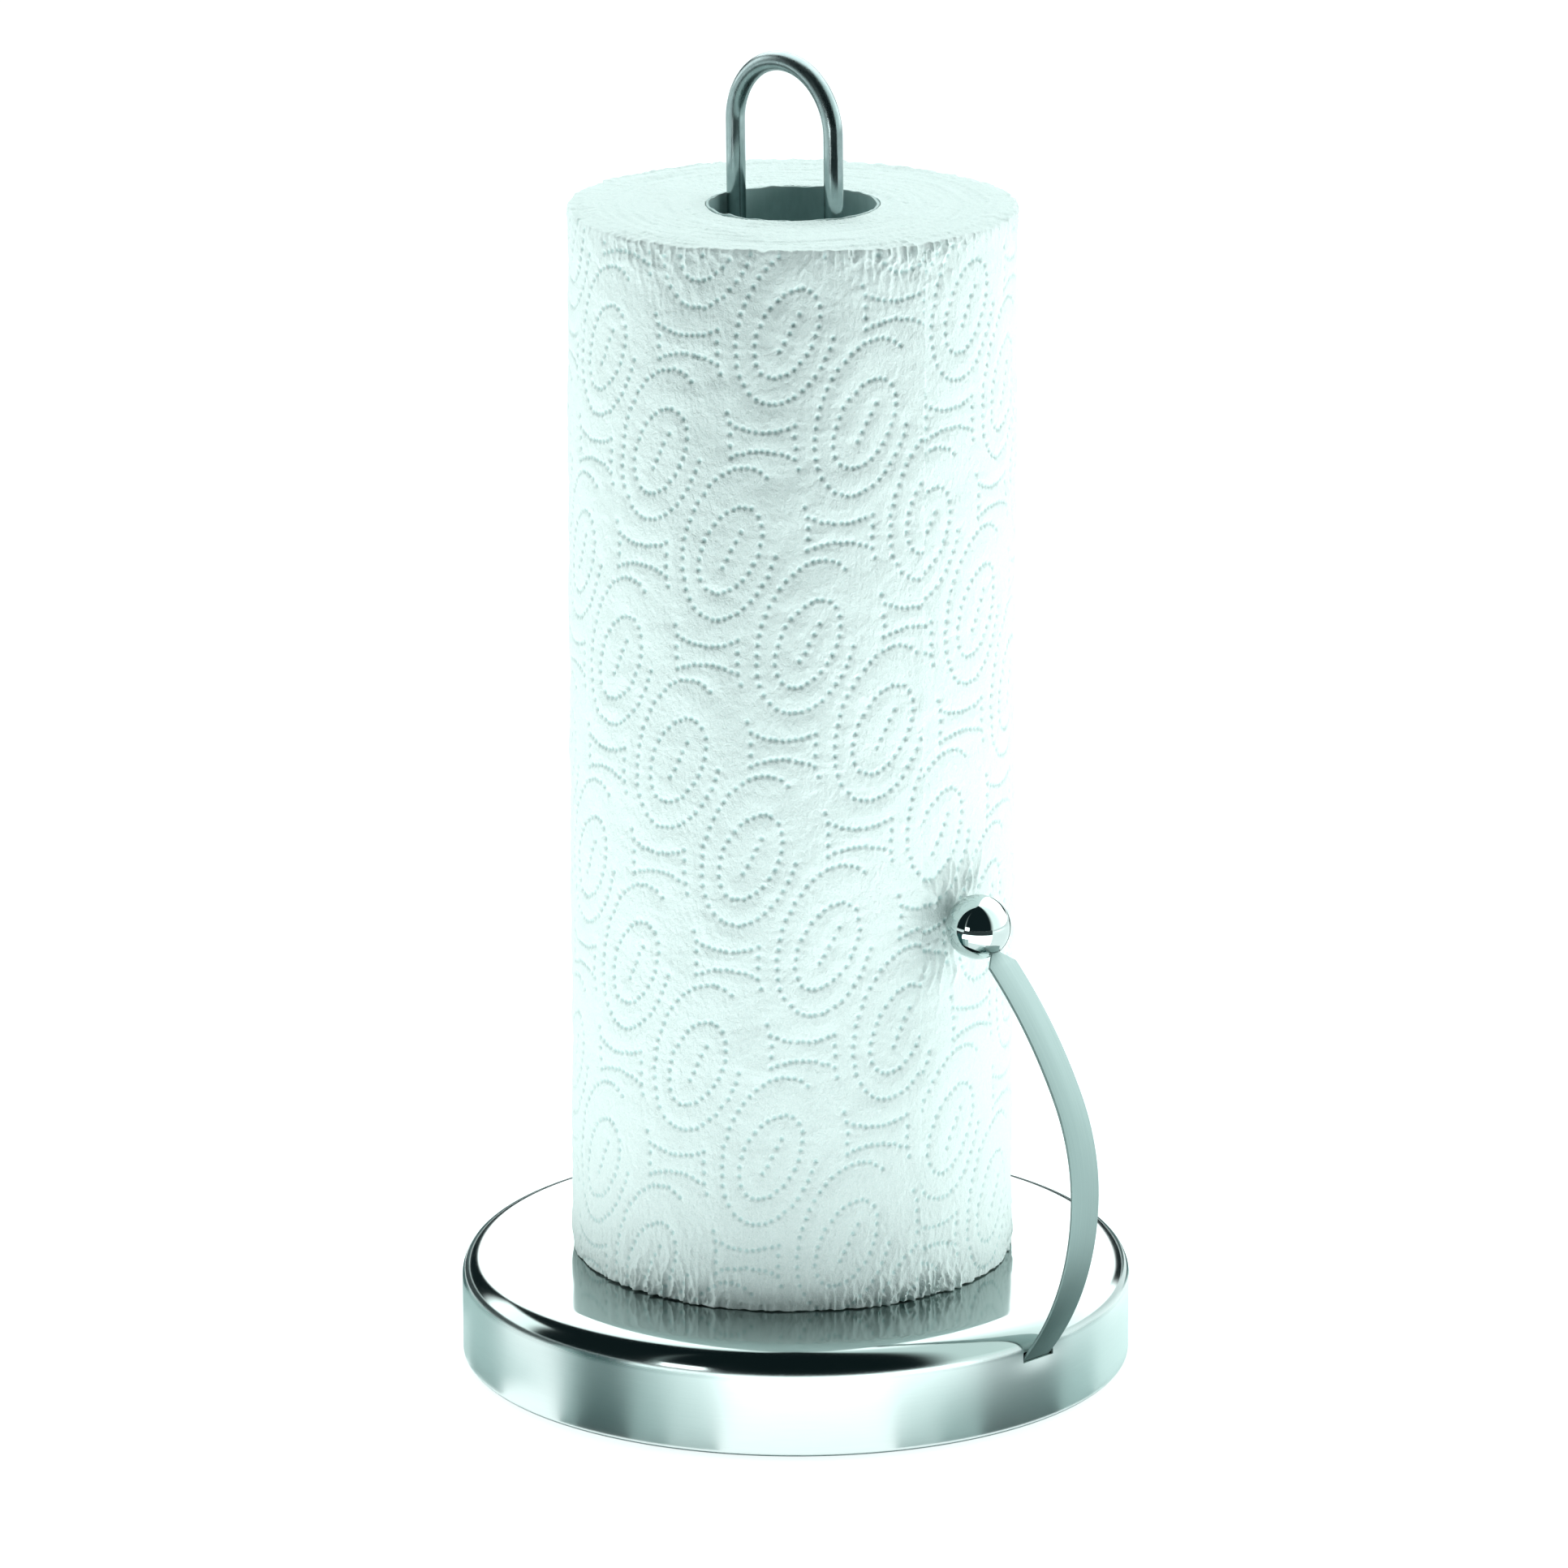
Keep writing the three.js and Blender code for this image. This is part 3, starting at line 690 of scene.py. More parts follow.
def make_cover(material):
    """The pressed sheet as an outer and an inner skin, joined at the hem's lip and at the slit."""
    angles = cover_angles()
    outer, slit_rows = cover_profile(0)
    inner, _ = cover_profile(SHEET)
    profile = np.vstack([inner[::-1], outer])
    x = profile[:, :1] * np.cos(angles)
    y = profile[:, :1] * np.sin(angles)
    z = np.repeat(profile[:, 1:], len(angles), 1)
    # Punching the slit draws the sheet in a little around it.
    across, above = y / SLIT_DRAW_HALF[0], (z - (SLIT_LOW_Z + SLIT_HIGH_Z) / 2) / SLIT_DRAW_HALF[1]
    x = x - SLIT_DRAW_DEPTH * np.exp(-(across**2) - above**2) * (x > 0)
    index = np.arange(x.size).reshape(x.shape)
    quads = ring_quads(index)
    kept = np.ones(quads.shape[:2], bool)
    last = SLIT_COLUMNS - 1
    outer_rows = len(inner) + slit_rows
    inner_rows = len(inner) - 1 - slit_rows
    kept[outer_rows[0]:outer_rows[-1], :last] = False
    kept[inner_rows[-1]:inner_rows[0], :last] = False
    quads = np.vstack([quads[kept], slit_walls(index, outer_rows, last)])
    # Both skins close at the centre of the top.
    caps = [index[0][::-1], index[-1]]
    cover = make_mesh("cover_shell", np.stack([x, y, z], 2).reshape(-1, 3), quads, caps, "base")
    cover.data.set_sharp_from_angle(angle=math.radians(SHARP_DEG["cover"]))
    cover.data.materials.append(material)
    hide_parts("base_cover")
    return cover


# ---- Spindle loop ----

def make_loop(material):
    """The bent wire as one sweep, its two ends turned down to threaded studs."""
    arch_z = LOOP_TOP_Z - WIRE_RADIUS - LEG_X
    leg = [
        (STUD_END_Z, STUD_RADIUS - STUD_CHAMFER),
        (STUD_END_Z + STUD_CHAMFER, STUD_RADIUS),
        (ROLL_LOW_Z - STUD_STEP, STUD_RADIUS),
        (ROLL_LOW_Z, WIRE_RADIUS - WIRE_CHAMFER),
        (ROLL_LOW_Z + WIRE_CHAMFER, WIRE_RADIUS),
    ]
    leg += [(z, WIRE_RADIUS) for z in np.linspace(ROLL_LOW_Z + STRAIGHT_START, arch_z, LEG_ROWS)[:-1]]
    stations = [(-LEG_X, z, 0.0, radius) for z, radius in leg]
    for heading in np.linspace(0, np.pi, ARCH_STEPS + 1):
        place = (-LEG_X * math.cos(heading), arch_z + LEG_X * math.sin(heading))
        stations.append((*place, heading, WIRE_RADIUS))
    stations += [(LEG_X, z, math.pi, radius) for z, radius in leg[::-1]]
    turn = whole_turn(WIRE_SIDES)[:, None]
    rows = []
    for x, z, heading, radius in stations:
        across = np.array([-math.cos(heading), 0, math.sin(heading)])
        ring = radius * (np.cos(turn) * across - np.sin(turn) * np.array([0, 1.0, 0]))
        # Handling has bent the tall wire over a little.
        rise = max(0.0, (z - ROLL_LOW_Z) / (LOOP_TOP_Z - ROLL_LOW_Z))
        middle = np.array([x + WIRE_LEAN[0] * rise, WIRE_LEAN[1] * rise, z])
        rows.append(middle + ring)
    loop = ring_mesh("spindle_wire", rows, SHARP_DEG["wire"], "base")
    loop.data.materials.append(material)
    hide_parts("spindle_loop")
    return loop


# ---- Spring arm ----

def walk(x, z, lean_deg, moves):
    """Stations (x, z, lean) along the strip. A move is ("run", length) or ("bend", radius, lean)."""
    stations = [(x, z, math.radians(lean_deg))]
    for kind, size, *target in moves:
        x, z, lean = stations[-1]
        if kind == "run":
            steps = max(1, round(size / STATION_PITCH))
            for along in np.arange(1, steps + 1) / steps * size:
                stations.append((x + along * math.sin(lean), z + along * math.cos(lean), lean))
            continue
        end = math.radians(target[0])
        steps = max(2, round(abs(lean - end) * size / STATION_PITCH))
        for share in np.arange(1, steps + 1) / steps:
            now = lean + (end - lean) * share
            stations.append((
                x + size * (math.cos(now) - math.cos(lean)),
                z + size * (math.sin(lean) - math.sin(now)),
                now,
            ))
    return stations


def strip_section(width):
    """The strip's cross-section as (across, through) points, with rounded edges."""
    half_width = width / 2 - STRIP_EDGE_RADIUS
    half_thick = STRIP_THICKNESS / 2 - STRIP_EDGE_RADIUS
    corners = [(1, 1, 0), (-1, 1, 90), (-1, -1, 180), (1, -1, 270)]
    return np.vstack([
        arc((sx * half_width, sy * half_thick), STRIP_EDGE_RADIUS, start, start + 90, EDGE_STEPS)
        for sx, sy, start in corners
    ])


def arm_stations():
    """The strip's stations from its clamp inside the base, out through the slit, to its narrow tip."""
    lean = math.radians(SLIT_LEAN_DEG)
    rise = ROOT_BEND_RADIUS * (1 - math.sin(lean))
    straight = (SLIT_CROSSING_Z - ROOT_FLAT_Z - rise) / math.cos(lean)
    bend_x = BASE_RADIUS - straight * math.sin(lean) - ROOT_BEND_RADIUS * math.cos(lean)
    moves = [("run", bend_x - ROOT_INNER_X), ("bend", ROOT_BEND_RADIUS, SLIT_LEAN_DEG), ("run", straight)]
    moves += [("bend", radius, end) for radius, end in ARM_BOW]
    stations = walk(ROOT_INNER_X, ROOT_FLAT_Z, 90, moves)
    x, z, lean = stations[-1]
    to_ball = math.hypot(BALL_CENTRE[0] - x, BALL_CENTRE[2] - z)
    for reach in (SHOULDER_TO_BALL, SHOULDER_TO_BALL - NECK_CHAMFER, BALL_RADIUS - TANG_DEPTH):
        run = to_ball - reach
        stations.append((x + run * math.sin(lean), z + run * math.cos(lean), lean))
    return stations


def make_arm(material):
    """One strip from its clamp inside the base up to the ball. It bends where it leaves the slit."""
    stations = arm_stations()
    widths = [STRIP_WIDTH] * (len(stations) - 2) + [NECK_WIDTH, NECK_WIDTH]
    across = np.array([0, 1.0, 0])
    rows = []
    for (x, z, lean), width in zip(stations, widths):
        section = strip_section(width)
        outward = np.array([math.cos(lean), 0, -math.sin(lean)])
        rows.append(np.array([x, 0, z]) + section[:, :1] * across + section[:, 1:] * outward)
    arm = ring_mesh("spring_strip", rows, SHARP_DEG["strip"])
    arm.data.materials.append(material)
    lean = math.radians(SLIT_LEAN_DEG)
    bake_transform(arm)
    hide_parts("spring_arm", "arm_root")
    return arm


def slot_reach(turn):
    """How far the ball's slot, a rounded rectangle, reaches from the neck's middle each way."""
    half_width = NECK_WIDTH / 2 + BALL_SLOT_ROOM
    half_height = STRIP_THICKNESS / 2 + BALL_SLOT_ROOM
    across = np.abs(np.cos(turn) / half_width) ** BALL_SLOT_SQUARENESS
    through = np.abs(np.sin(turn) / half_height) ** BALL_SLOT_SQUARENESS
    return (across + through) ** (-1 / BALL_SLOT_SQUARENESS)


def make_ball(material):
    """A chromed ball whose slot takes the strip's neck. Its rings start in the slot."""
    turn = whole_turn(BALL_SIDES)
    slot = slot_reach(turn)
    mouth = np.sqrt(BALL_RADIUS**2 - slot**2)
    floor = np.full(BALL_SIDES, BALL_RADIUS - BALL_SLOT_DEPTH)
    rings = [(slot * share, floor) for share in BALL_SLOT_FLOOR]
    rings += [(slot, mouth - 2 * BALL_SLOT_LIP), (slot, mouth - BALL_SLOT_LIP)]
    polar_start = np.arcsin((slot + BALL_SLOT_LIP) / BALL_RADIUS)
    for share in np.linspace(0, 1, BALL_ROWS):
        polar = polar_start + (math.radians(BALL_END_DEG) - polar_start) * share**BALL_CROWDING
        rings.append((BALL_RADIUS * np.sin(polar), BALL_RADIUS * np.cos(polar)))
    lean = math.radians(ARM_BOW[-1][1])
    axis = np.array([-math.sin(lean), 0, -math.cos(lean)])
    across = np.array([0, 1.0, 0])
    outward = np.cos(turn)[:, None] * across + np.sin(turn)[:, None] * np.cross(axis, across)
    rows = [BALL_CENTRE + reach[:, None] * outward + along[:, None] * axis for reach, along in rings]
    ball = ring_mesh("chrome_ball", rows, SHARP_DEG["ball"], "arm")
    ball.data.flip_normals()
    ball.data.materials.append(material)
    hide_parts("arm_ball")
    return ball


# ---- Cardboard core ----

def make_core(material, rng):
    """A spirally wound tube with soft cut ends."""
    z = np.linspace(ROLL_LOW_Z + CORE_FOOT_GAP, ROLL_HIGH_Z - CORE_TOP_GAP, CORE_ROWS)
    angles = whole_turn(CORE_SIDES)
    turns = (z[:, None] - ROLL_LOW_Z) / PLY_PITCH + angles / (2 * np.pi)
    groove = np.exp(-((((turns + 0.5) % 1 - 0.5) / PLY_GROOVE_TURNS) ** 2))
    lumps = smooth_noise(rng, (CORE_ROWS, CORE_SIDES), BOARD_GRID, (BOARD_LUMP, BOARD_LUMP))
    bore = CORE_RADIUS - CORE_WALL + CORE_BORE_ROOM + BOARD_RELIEF * lumps - PLY_GROOVE_DEPTH * groove
    outer = np.full(bore.shape, CORE_RADIUS - CORE_ROOM)
    ragged = smooth_noise(rng, (4, CORE_SIDES), (1, BOARD_GRID[1]), (1, CUT_LUMP))[:2]
    heights = np.repeat(z[:, None], CORE_SIDES, 1)
    heights[-1] += CUT_RAGGEDNESS * ragged[0]
    heights[0] += FOOT_RAGGEDNESS * np.abs(ragged[1])
    radii = np.vstack([outer, bore[::-1]])
    heights = np.vstack([heights, heights[::-1]])
    rows = np.stack([ROLL_X + radii * np.cos(angles), radii * np.sin(angles), heights], 2)
    core = ring_mesh("core_tube", rows, SHARP_DEG["core"], "core", loop=True)
    core.data.materials.append(material)
    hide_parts("cardboard_core")
    return core


# ---- Paper roll ----

def along_line(line):
    """Dots along a line of close points, both ends included. They crowd where it lies flat."""
    steps = np.diff(line, axis=0)
    lengths = np.hypot(*steps.T)
    steepness = np.clip(np.abs(steps[:, 1]) / lengths / STEEP_LINE, 0, 1) ** 2
    pitches = DOT_PITCH_ACROSS + (DOT_PITCH_UP - DOT_PITCH_ACROSS) * steepness
    counted = np.concatenate([[0], np.cumsum(lengths / pitches)])
    count = max(2, round(counted[-1]) + 1)
    places = np.linspace(0, counted[-1], count)
    return np.stack([np.interp(places, counted, line[:, 0]), np.interp(places, counted, line[:, 1])], 1)


def oval_dots(oval):
    """Dots along a tilted oval, as (right, up) from the motif's centre."""
    angles = np.radians(np.linspace(*oval["span"], OVAL_POINTS))
    tilt = math.radians(oval["tilt"])
    right = oval["half"][0] * np.cos(angles)
    up = oval["half"][1] * np.sin(angles)
    line = np.stack([
        right * math.cos(tilt) + up * math.sin(tilt),
        up * math.cos(tilt) - right * math.sin(tilt) + oval["lift"],
    ], 1)
    return along_line(line)


def motif_dots():
    """One open outer oval, one inner oval, a short stroke and one waisted panel."""
    reach, half_height = PANEL_HALF
    right = np.linspace(-reach, reach, PANEL_POINTS)
    sag = PANEL_SAG * (1 - (right / reach) ** 2)
    upper = along_line(np.stack([right, half_height - sag], 1))
    lower = along_line(np.stack([right, sag - half_height], 1))
    sides = np.array([[side * reach, up * half_height / 3] for side in (-1, 1) for up in (-1, 1)])
    tail = half_height + DOT_PITCH_UP
    tails = np.array([[-reach - PANEL_TAIL, tail], [reach + PANEL_TAIL, -tail]])
    panel = np.vstack([upper, lower, sides, tails]) + PANEL_OFFSET
    return np.vstack([oval_dots(OUTER_OVAL), oval_dots(INNER_OVAL), np.array(STROKE), panel])


def pattern_dots(rng, around, height):
    """Every dot on the unrolled wall as (right of the sheet's end, up)."""
    motif = motif_dots()
    dots = []
    for a in range(*MOTIF_RANGE_A):
        for b in range(*MOTIF_RANGE_B):
            right, up = np.array(MOTIF_START) + a * np.array(MOTIF_STEP_A) + b * np.array(MOTIF_STEP_B)
            right += around
            if -MOTIF_REACH < right < around + MOTIF_REACH and -MOTIF_REACH < up < height + MOTIF_REACH:
                dots.append(motif + (right, up))
    dots = np.vstack(dots)
    return dots + rng.normal(0, DOT_SCATTER, dots.shape)


def stamp(shape, spacing, dots, radius, power):
    """How deep each grid point lies in its nearest dot, from 0 to 1."""
    field = np.zeros(shape)
    place = dots[:, ::-1] / np.array(spacing)
    middle = np.round(place).astype(int)
    reach = math.ceil(STAMP_REACH * radius / min(spacing))
    for down in range(-reach, reach + 1):
        for right in range(-reach, reach + 1):
            spot = middle + (down, right)
            inside = ((spot >= 0) & (spot < shape)).all(1)
            away = ((spot - place) * spacing)[inside]
            depth = np.exp(-((away**2).sum(1) / radius**2) ** (power / 2))
            np.maximum.at(field, tuple(spot[inside].T), depth)
    return field


def ridges(relief, sharpness):
    """Thin crests where smooth noise crosses its mean, from 0 to 1."""
    return 1 / (1 + (sharpness * relief) ** 2)


def crush_share(rng, shape, spacing, right, up):
    """How hard each point is crushed, most at the roll's two ends and where hands gripped them."""
    height = ROLL_HIGH_Z - ROLL_LOW_Z
    around = 2 * np.pi * ROLL_RADIUS
    patch = smooth_noise(rng, shape, spacing, CRUSH_PATCH["size"])
    patch = np.clip(patch * CRUSH_PATCH["spread"] + CRUSH_PATCH["mean"], *CRUSH_PATCH["range"])
    for place, width in GRIPPED:
        away = (right - place + around / 2) % around - around / 2
        patch += GRIP_STRENGTH * np.exp(-((away / width) ** 2))
    return (np.exp(-up / FOOT_CRUSH_REACH) + np.exp(-(height - up) / TOP_CRUSH_REACH)) * patch


def wall_relief(rng, shape, spacing, right, up):
    """Outward relief of the roll's side, and how far each point lies in a dot."""
    height = ROLL_HIGH_Z - ROLL_LOW_Z
    dots = pattern_dots(rng, 2 * np.pi * ROLL_RADIUS, height)
    depth = stamp(shape, spacing, dots, DOT_RADIUS, DOT_SQUARENESS)
    trench = stamp(shape, spacing, dots, TRENCH_RADIUS, TRENCH_SQUARENESS)
    rim = stamp(shape, spacing, dots, RIM_RADIUS, RIM_SQUARENESS)
    relief = sum(amount * smooth_noise(rng, shape, spacing, size) for amount, size in WALL_RELIEF)
    # Both ends of the wound web are crushed into small upright creases.
    creases = -CREASE_LEVEL
    for crease_height, size, sharpness in CREASES:
        creases = creases + crease_height * ridges(smooth_noise(rng, shape, spacing, size), sharpness)
    crushed = crush_share(rng, shape, spacing, right, up)
    relief += creases * crushed
    relief -= DOT_DEPTH * depth * (1 - CRUSHED_DOTS * np.clip(crushed, 0, 1))
    relief += RIM_HEIGHT * rim - TRENCH_DEPTH * trench
    ends = np.exp(-up / FOOT_ROUNDING_REACH) + np.exp(-(height - up) / TOP_ROUNDING_REACH)
    return relief - END_ROUNDING * ends, depth


def ball_creases(rng, right, up):
    """Small sharp folds that fan up and down from where the ball presses, and its dent."""
    around = 2 * np.pi * ROLL_RADIUS
    ball_right = math.radians(-SHEET_END_DEG) * ROLL_RADIUS
    dx = (right - ball_right + around / 2) % around - around / 2
    dz = up - (BALL_CENTRE[2] - ROLL_LOW_Z)
    relief = np.zeros(right.shape)
    for side in (1, -1):
        places = np.linspace(-FOLD_SPREAD, FOLD_SPREAD, FOLD_COUNT)
        for place in places + rng.normal(0, FOLD_SCATTER, FOLD_COUNT):
            along = side * dz - rng.uniform(*FOLD_START)
            length, phase = rng.uniform(*FOLD_SWAY_LENGTH), rng.uniform(*FOLD_SWAY_PHASE)
            sway = FOLD_SWAY * np.sin(along / length + phase)
            across = dx - place * (1 + along * FOLD_FAN) - sway
            reach = rng.uniform(*FOLD_REACH)
            crest = np.exp(-((across / FOLD_WIDTH) ** 2)) * np.exp(-(((along - reach / 2) / reach) ** 2))
            relief += rng.uniform(*FOLD_HEIGHT) * crest * (along > -FOLD_LEAD)
    dent = np.exp(-((dx**2 + dz**2) / DENT_RADIUS**2))
    return relief * (1 - dent) - DENT_DEPTH * dent


def end_relief(rng, shape, spacing):
    """Ridges of the wound edges on the roll's flat ends, long around and fine across."""
    return sum(amount * smooth_noise(rng, shape, spacing, size) for amount, size in FACE_RELIEF)


def end_rings(rng, columns, spacing, wall_edge, mark_edge, sign):
    """Rings of one end of the roll from the bore to the wall, as (radius, height, mark)."""
    bore = CORE_RADIUS + BORE_GAP
    corner = PAPER_CORNER if sign > 0 else FOOT_CORNER
    steps = round((ROLL_RADIUS - corner - bore) / FACE_GRID)
    shares = np.linspace(0, 1, steps)[:, None]
    inner = bore + BORE_ROUNDING
    radii = inner + shares * (wall_edge - corner - inner)
    ragged = sum(
        amount * smooth_noise(rng, (8, columns), (1, spacing), (1, size))[:1] for amount, size in RAGGED_EDGE
    )
    drop = np.clip(FACE_SINK - end_relief(rng, (steps, columns), (FACE_GRID, spacing)), 0, None)
    drop += np.abs(ragged) * shares**RAGGED_CROWDING
    drop *= 1.0 if sign > 0 else FOOT_ROUGHNESS
    flat = ROLL_HIGH_Z if sign > 0 else ROLL_LOW_Z - FOOT_SAG
    rings = [(radii[i], flat - sign * drop[i], np.zeros(columns)) for i in range(steps)]
    for angle in np.radians(CORNER_RINGS_DEG):
        radius = wall_edge - corner * (1 - math.cos(angle))
        height = flat - sign * (drop[-1] + corner * (1 - math.sin(angle)))
        rings.append((radius, height, mark_edge / 2))
    return rings


def make_paper(material, rng):
    """The wound web as one closed skin: its bottom, wall, top and bore, column by column."""
    around = 2 * np.pi * ROLL_RADIUS
    height = ROLL_HIGH_Z - ROLL_LOW_Z
    columns = round(around / PAPER_GRID)
    levels = round(height / PAPER_GRID)
    right = np.arange(columns) * around / columns
    up = np.linspace(0, height, levels)
    grid_right, grid_up = np.meshgrid(right, up)
    spacing = (height / (levels - 1), around / columns)
    relief, depth = wall_relief(rng, (levels, columns), spacing, grid_right, grid_up)
    relief += ball_creases(rng, grid_right, grid_up)
    # The web winds outwards to its free edge, which lifts a little off the layer below.
    wound = LAYER_STEP * (right / around - 1)
    loose = smooth_noise(rng, (levels, 8), (spacing[0], 1), (LOOSENESS["size"], 1))[:, :1]
    loose = np.clip(LOOSENESS["mean"] + LOOSENESS["spread"] * loose, *LOOSENESS["range"])
    lift = FREE_EDGE_LIFT * np.exp(-(around - right) / FREE_EDGE_REACH) * loose
    wall = ROLL_RADIUS + wound + relief + lift
    inner = (up > FOOT_CORNER + WALL_MARGIN[0]) & (up < height - PAPER_CORNER - WALL_MARGIN[1])
    wall, depth, up = wall[inner], depth[inner], up[inner]

    rings = end_rings(rng, columns, spacing[1], wall[0], depth[0], -1)
    rings += [(wall[i], np.full(columns, ROLL_LOW_Z + up[i]), depth[i]) for i in range(len(up))]
    rings += end_rings(rng, columns, spacing[1], wall[-1], depth[-1], 1)[::-1]
    for share in BORE_LEVELS:
        level = np.full(columns, ROLL_LOW_Z + share * height)
        rings.append((np.full(columns, CORE_RADIUS + BORE_GAP), level, np.zeros(columns)))
    radii, heights, marks = (np.array(part) for part in zip(*rings))
    angles = math.radians(SHEET_END_DEG) + right / ROLL_RADIUS
    rows = np.stack([ROLL_X + radii * np.cos(angles), radii * np.sin(angles), heights], 2)
    paper = ring_mesh("wound_paper", rows, SHARP_DEG["paper"], "paper", loop=True)
    # How deep each point lies in a dot, which the material uses to paint shade into the dots
    emboss = paper.data.attributes.new("emboss", "FLOAT", "POINT")
    emboss.data.foreach_set("value", marks.astype(np.float32).ravel())
    paper.data.materials.append(material)
    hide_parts("paper_roll")
    return paper


# ---- CAD nodes that stay ----

def dress(nodes, material):
    for name in nodes:
        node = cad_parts[name]
        node.data.materials.clear()
        node.data.materials.append(material)


# ---- Studio ----

def studio_point(right, back, up):
    """A point given as the camera sees it, in metres in the row frame."""
    azimuth = math.radians(CAMERA_AZIMUTH_DEG)
    x = right * math.cos(azimuth) - back * math.sin(azimuth)
    y = right * math.sin(azimuth) + back * math.cos(azimuth)
    return Vector((x, y, up)) * MM


def add_camera():
    camera = bpy.data.objects.new("camera", bpy.data.cameras.new("camera"))
    bpy.context.scene.collection.objects.link(camera)
    camera.data.lens = CAMERA_LENS
    camera.data.sensor_width = SENSOR_WIDTH
    camera.data.clip_end = CLIP_END_M
    camera.location = studio_point(0, -CAMERA_DISTANCE, CAMERA_HEIGHT)
    heading = CAMERA_AZIMUTH_DEG + CAMERA_YAW_DEG
    camera.rotation_euler = (math.radians(90 - CAMERA_PITCH_DEG), 0, math.radians(heading))
    bpy.context.scene.camera = camera


def add_floor():
    """A pale light table, lit a little from below so that it carries hardly any shadow."""
    half = TABLE_HALF
    corners = [(-half, -half, 0), (half, -half, 0), (half, half, 0), (-half, half, 0)]
    floor = make_mesh("floor", corners, [[0, 1, 2, 3]])
    m = Nodes("pale_floor", TABLE, 0.9)
    m.glow(TABLE_GLOW, TABLE_GLOW_STRENGTH)
    floor.data.materials.append(m.material)


def add_softbox(name, place, aim_height, size, power, colour):
    light = bpy.data.lights.new(name, "AREA")
    light.shape = "SQUARE"
    light.size = size * MM
    light.energy = power
    light.color = colour
    box = bpy.data.objects.new(name, light)
    bpy.context.scene.collection.objects.link(box)
    box.location = studio_point(*place)
    towards = studio_point(0, 0, aim_height) - box.location
    box.rotation_euler = towards.to_track_quat("-Z", "Y").to_euler()
    box.visible_camera = False
    box.visible_glossy = False


def add_card(name, rows, colour, diffuse=False, glow=None):
    """A card of the studio, from rows of points, that only reflections (and soft light) see."""
    rows = np.asarray(rows, float)
    index = np.arange(rows.shape[0] * rows.shape[1]).reshape(rows.shape[:2])
    quads = np.stack([index[:-1, :-1], index[:-1, 1:], index[1:, 1:], index[1:, :-1]], 2)
    points = [np.array(studio_point(*p)) / MM for p in rows.reshape(-1, 3)]
    card = make_mesh(name, points, quads.reshape(-1, 4))
    m = Nodes(name + "_felt", colour, 1.0)
    if glow:
        m.glow(glow, 1.0)
    card.data.materials.append(m.material)
    card.visible_camera = False
    card.visible_shadow = False
    card.visible_transmission = False
    card.visible_diffuse = diffuse


def table_sector(from_deg, to_deg, near, far):
    """Rows of points on the table between two bearings, seen from the camera's side."""
    bearings = np.radians(np.linspace(from_deg, to_deg, CARD_COLUMNS))
    return [[(r * math.sin(b), -r * math.cos(b), CARD_LEVEL / 2) for b in bearings] for r in (near, far)]


def skirt_mirror(from_deg, to_deg, near, far, side=1):
    """Rows of points on the table that the skirt mirrors to the camera between two bearings.
    Side -1 does the same for the back of the base."""
    bearings = np.radians(np.linspace(from_deg, to_deg, MIRROR_COLUMNS))
    level = CARD_LEVEL * (1 + side / 4)
    rows = []
    for reach in np.linspace(near, far, MIRROR_ROWS):
        right = BASE_RADIUS * np.sin(bearings) + reach * np.sin(2 * bearings)
        back = -BASE_RADIUS * np.cos(bearings) - reach * np.cos(2 * bearings)
        rows.append(np.stack([side * right, side * back, np.full(len(bearings), level)], 1))
    return rows


def window_rows(bearing, rise, width, height, reach):
    """Rows of an upright window's corners, in degrees as the ball sees it."""
    rows = []
    for up in (-0.5, 0.5):
        level = BALL_CENTRE[2] + reach * math.tan(math.radians(rise + up * height))
        sides = np.radians([bearing - width / 2, bearing + width / 2])
        rows.append([(reach * math.sin(b), -reach * math.cos(b), level) for b in sides])
    return rows


class WorldNodes(Tree):
    """Node calls for the world's light, which depends on the direction only."""

    def ramp(self, value, limits):
        """0 before the first limit, 1 past the second, and smooth between them."""
        made = self.node("ShaderNodeMapRange", **{"From Min": limits[0], "From Max": limits[1]})
        made.interpolation_type = "SMOOTHSTEP"
        self.link(value, made.inputs["Value"])
        return made.outputs["Result"]

    def ramp_deg(self, value, limits_deg):
        return self.ramp(value, [math.radians(limit) for limit in limits_deg])

    def both(self, a, b):
        return self.math("MULTIPLY", a, b)

    def either(self, a, b):
        return self.math("MAXIMUM", a, b)

    def rotate(self, vector, axis, degrees):
        made = self.node("ShaderNodeVectorRotate", Axis=axis, Angle=math.radians(degrees))
        self.link(vector, made.inputs["Vector"])
        return made.outputs["Vector"]

    def axes(self, vector):
        """A direction's back and up parts, and its bearing from the camera's side."""
        made = self.node("ShaderNodeSeparateXYZ")
        self.link(vector, made.inputs["Vector"])
        right, back, up = made.outputs
        return back, up, self.math("ARCTAN2", right, self.math("MULTIPLY", back, -1.0))


def dark_in_reflections(n, back, up, bearing):
    """Where reflections show the dark left of the room or its dark far wall."""
    rise = n.math("ARCSINE", up)
    to_left = n.math("MULTIPLY", bearing, -1.0)
    overhead = n.math("ADD", up, n.math("MULTIPLY", back, ROOF_SLOPE))
    left_room = n.both(n.ramp_deg(to_left, LEFT_ROOM_START), n.ramp(overhead, ROOF_EDGE))
    light_sides = n.both(n.ramp_deg(to_left, LEFT_LIGHT_START), n.ramp_deg(to_left, LEFT_LIGHT_END))
    left_light = n.both(light_sides, n.ramp_deg(rise, LEFT_LIGHT_RISE))
    far_wall = n.both(n.ramp_deg(bearing, FAR_WALL_START), n.ramp_deg(rise, FAR_WALL_RISE))
    return n.either(n.both(left_room, n.math("SUBTRACT", 1.0, left_light)), far_wall)


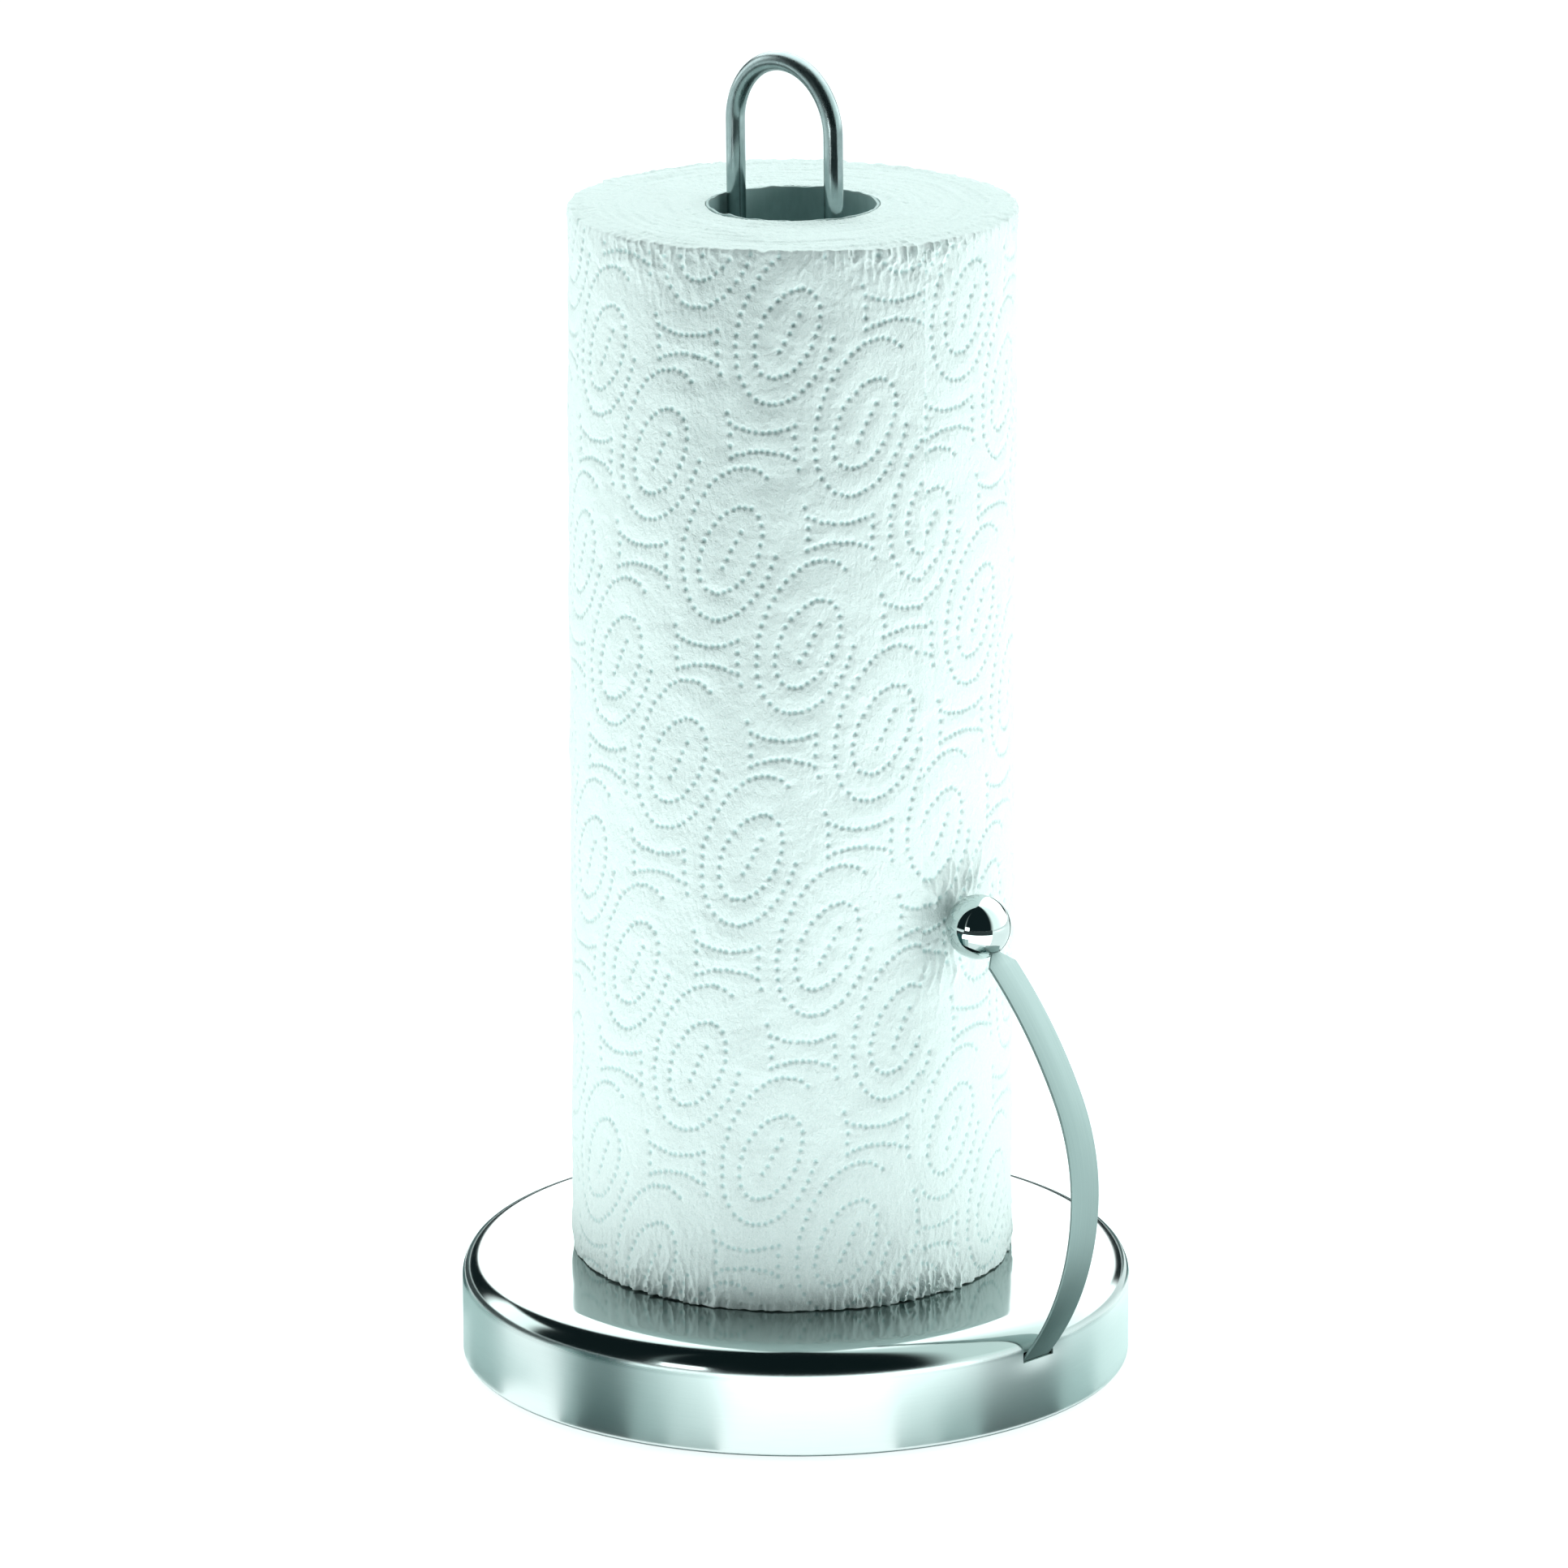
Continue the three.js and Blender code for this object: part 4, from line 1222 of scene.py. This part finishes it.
def light_world():
    """Soft light from behind and from both sides, and an unlit room on the camera's side."""
    world = bpy.data.worlds.new("studio")
    world.use_nodes = True
    n = WorldNodes(world.node_tree)
    turned = n.rotate(n.node("ShaderNodeTexCoord").outputs["Generated"], (0, 0, 1), -CAMERA_AZIMUTH_DEG)
    tilted = n.rotate(turned, (1, 0, 0), DARK_TILT)
    aside = n.math("ABSOLUTE", n.axes(tilted)[2])
    room = n.ramp_deg(aside, DARK_EDGE)
    behind = n.ramp_deg(aside, SIDE_TO_BACK)
    far_behind = n.ramp_deg(aside, BACK_TO_FAR)
    soft = n.mix(far_behind, n.mix(behind, SIDE_LIGHT, BACK_LIGHT), FAR_LIGHT)
    unlit = n.either(room, dark_in_reflections(n, *n.axes(turned)))
    mirrored = n.mix(unlit, n.mix(behind, SIDE_SHINE, BACK_SHINE), DARK_ROOM)
    path = n.node("ShaderNodeLightPath").outputs
    light = n.mix(path["Is Glossy Ray"], n.mix(room, soft, DARK_ROOM), mirrored)
    background = world.node_tree.nodes["Background"].inputs["Color"]
    n.link(n.mix(path["Is Camera Ray"], light, BACKDROP), background)
    bpy.context.scene.world = world


def light_studio():
    light_world()
    for name, softbox in SOFTBOXES.items():
        add_softbox(name, *softbox)
    for name, (*sector, colour, glow) in TABLE_CARDS.items():
        add_card(name, table_sector(*sector), colour, diffuse=name.startswith("front"), glow=glow)
    for number, (start, end, near, far, colour) in enumerate(SKIRT_CARDS):
        add_card(f"front_card_{number}", skirt_mirror(start, end, near, far), colour)
        back = skirt_mirror(start, end, near, min(far, BACK_CARD_REACH), side=-1)
        add_card(f"back_card_{number}", back, colour)
    add_card("window", window_rows(**WINDOW), TABLE, glow=WINDOW_SHINE)
    view = bpy.context.scene.view_settings
    view.view_transform = "Standard"
    view.look = "None"


# ---- Assembly ----

rng = np.random.default_rng(SEED)
zinc = zinc_material()
make_cover(cover_material())
make_loop(wire_material())
make_arm(strip_material())
make_ball(chrome_material())
make_core(board_material(), rng)
make_paper(paper_material(), rng)
dress(["base_weight"], iron_material())
dress(["non_slip_pad"], foam_material())
fixings = [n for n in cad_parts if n.startswith(("spindle_", "arm_clamp", "bottom_"))]
dress(sorted(set(fixings) - {"spindle_loop"}), zinc)
add_camera()
add_floor()
light_studio()
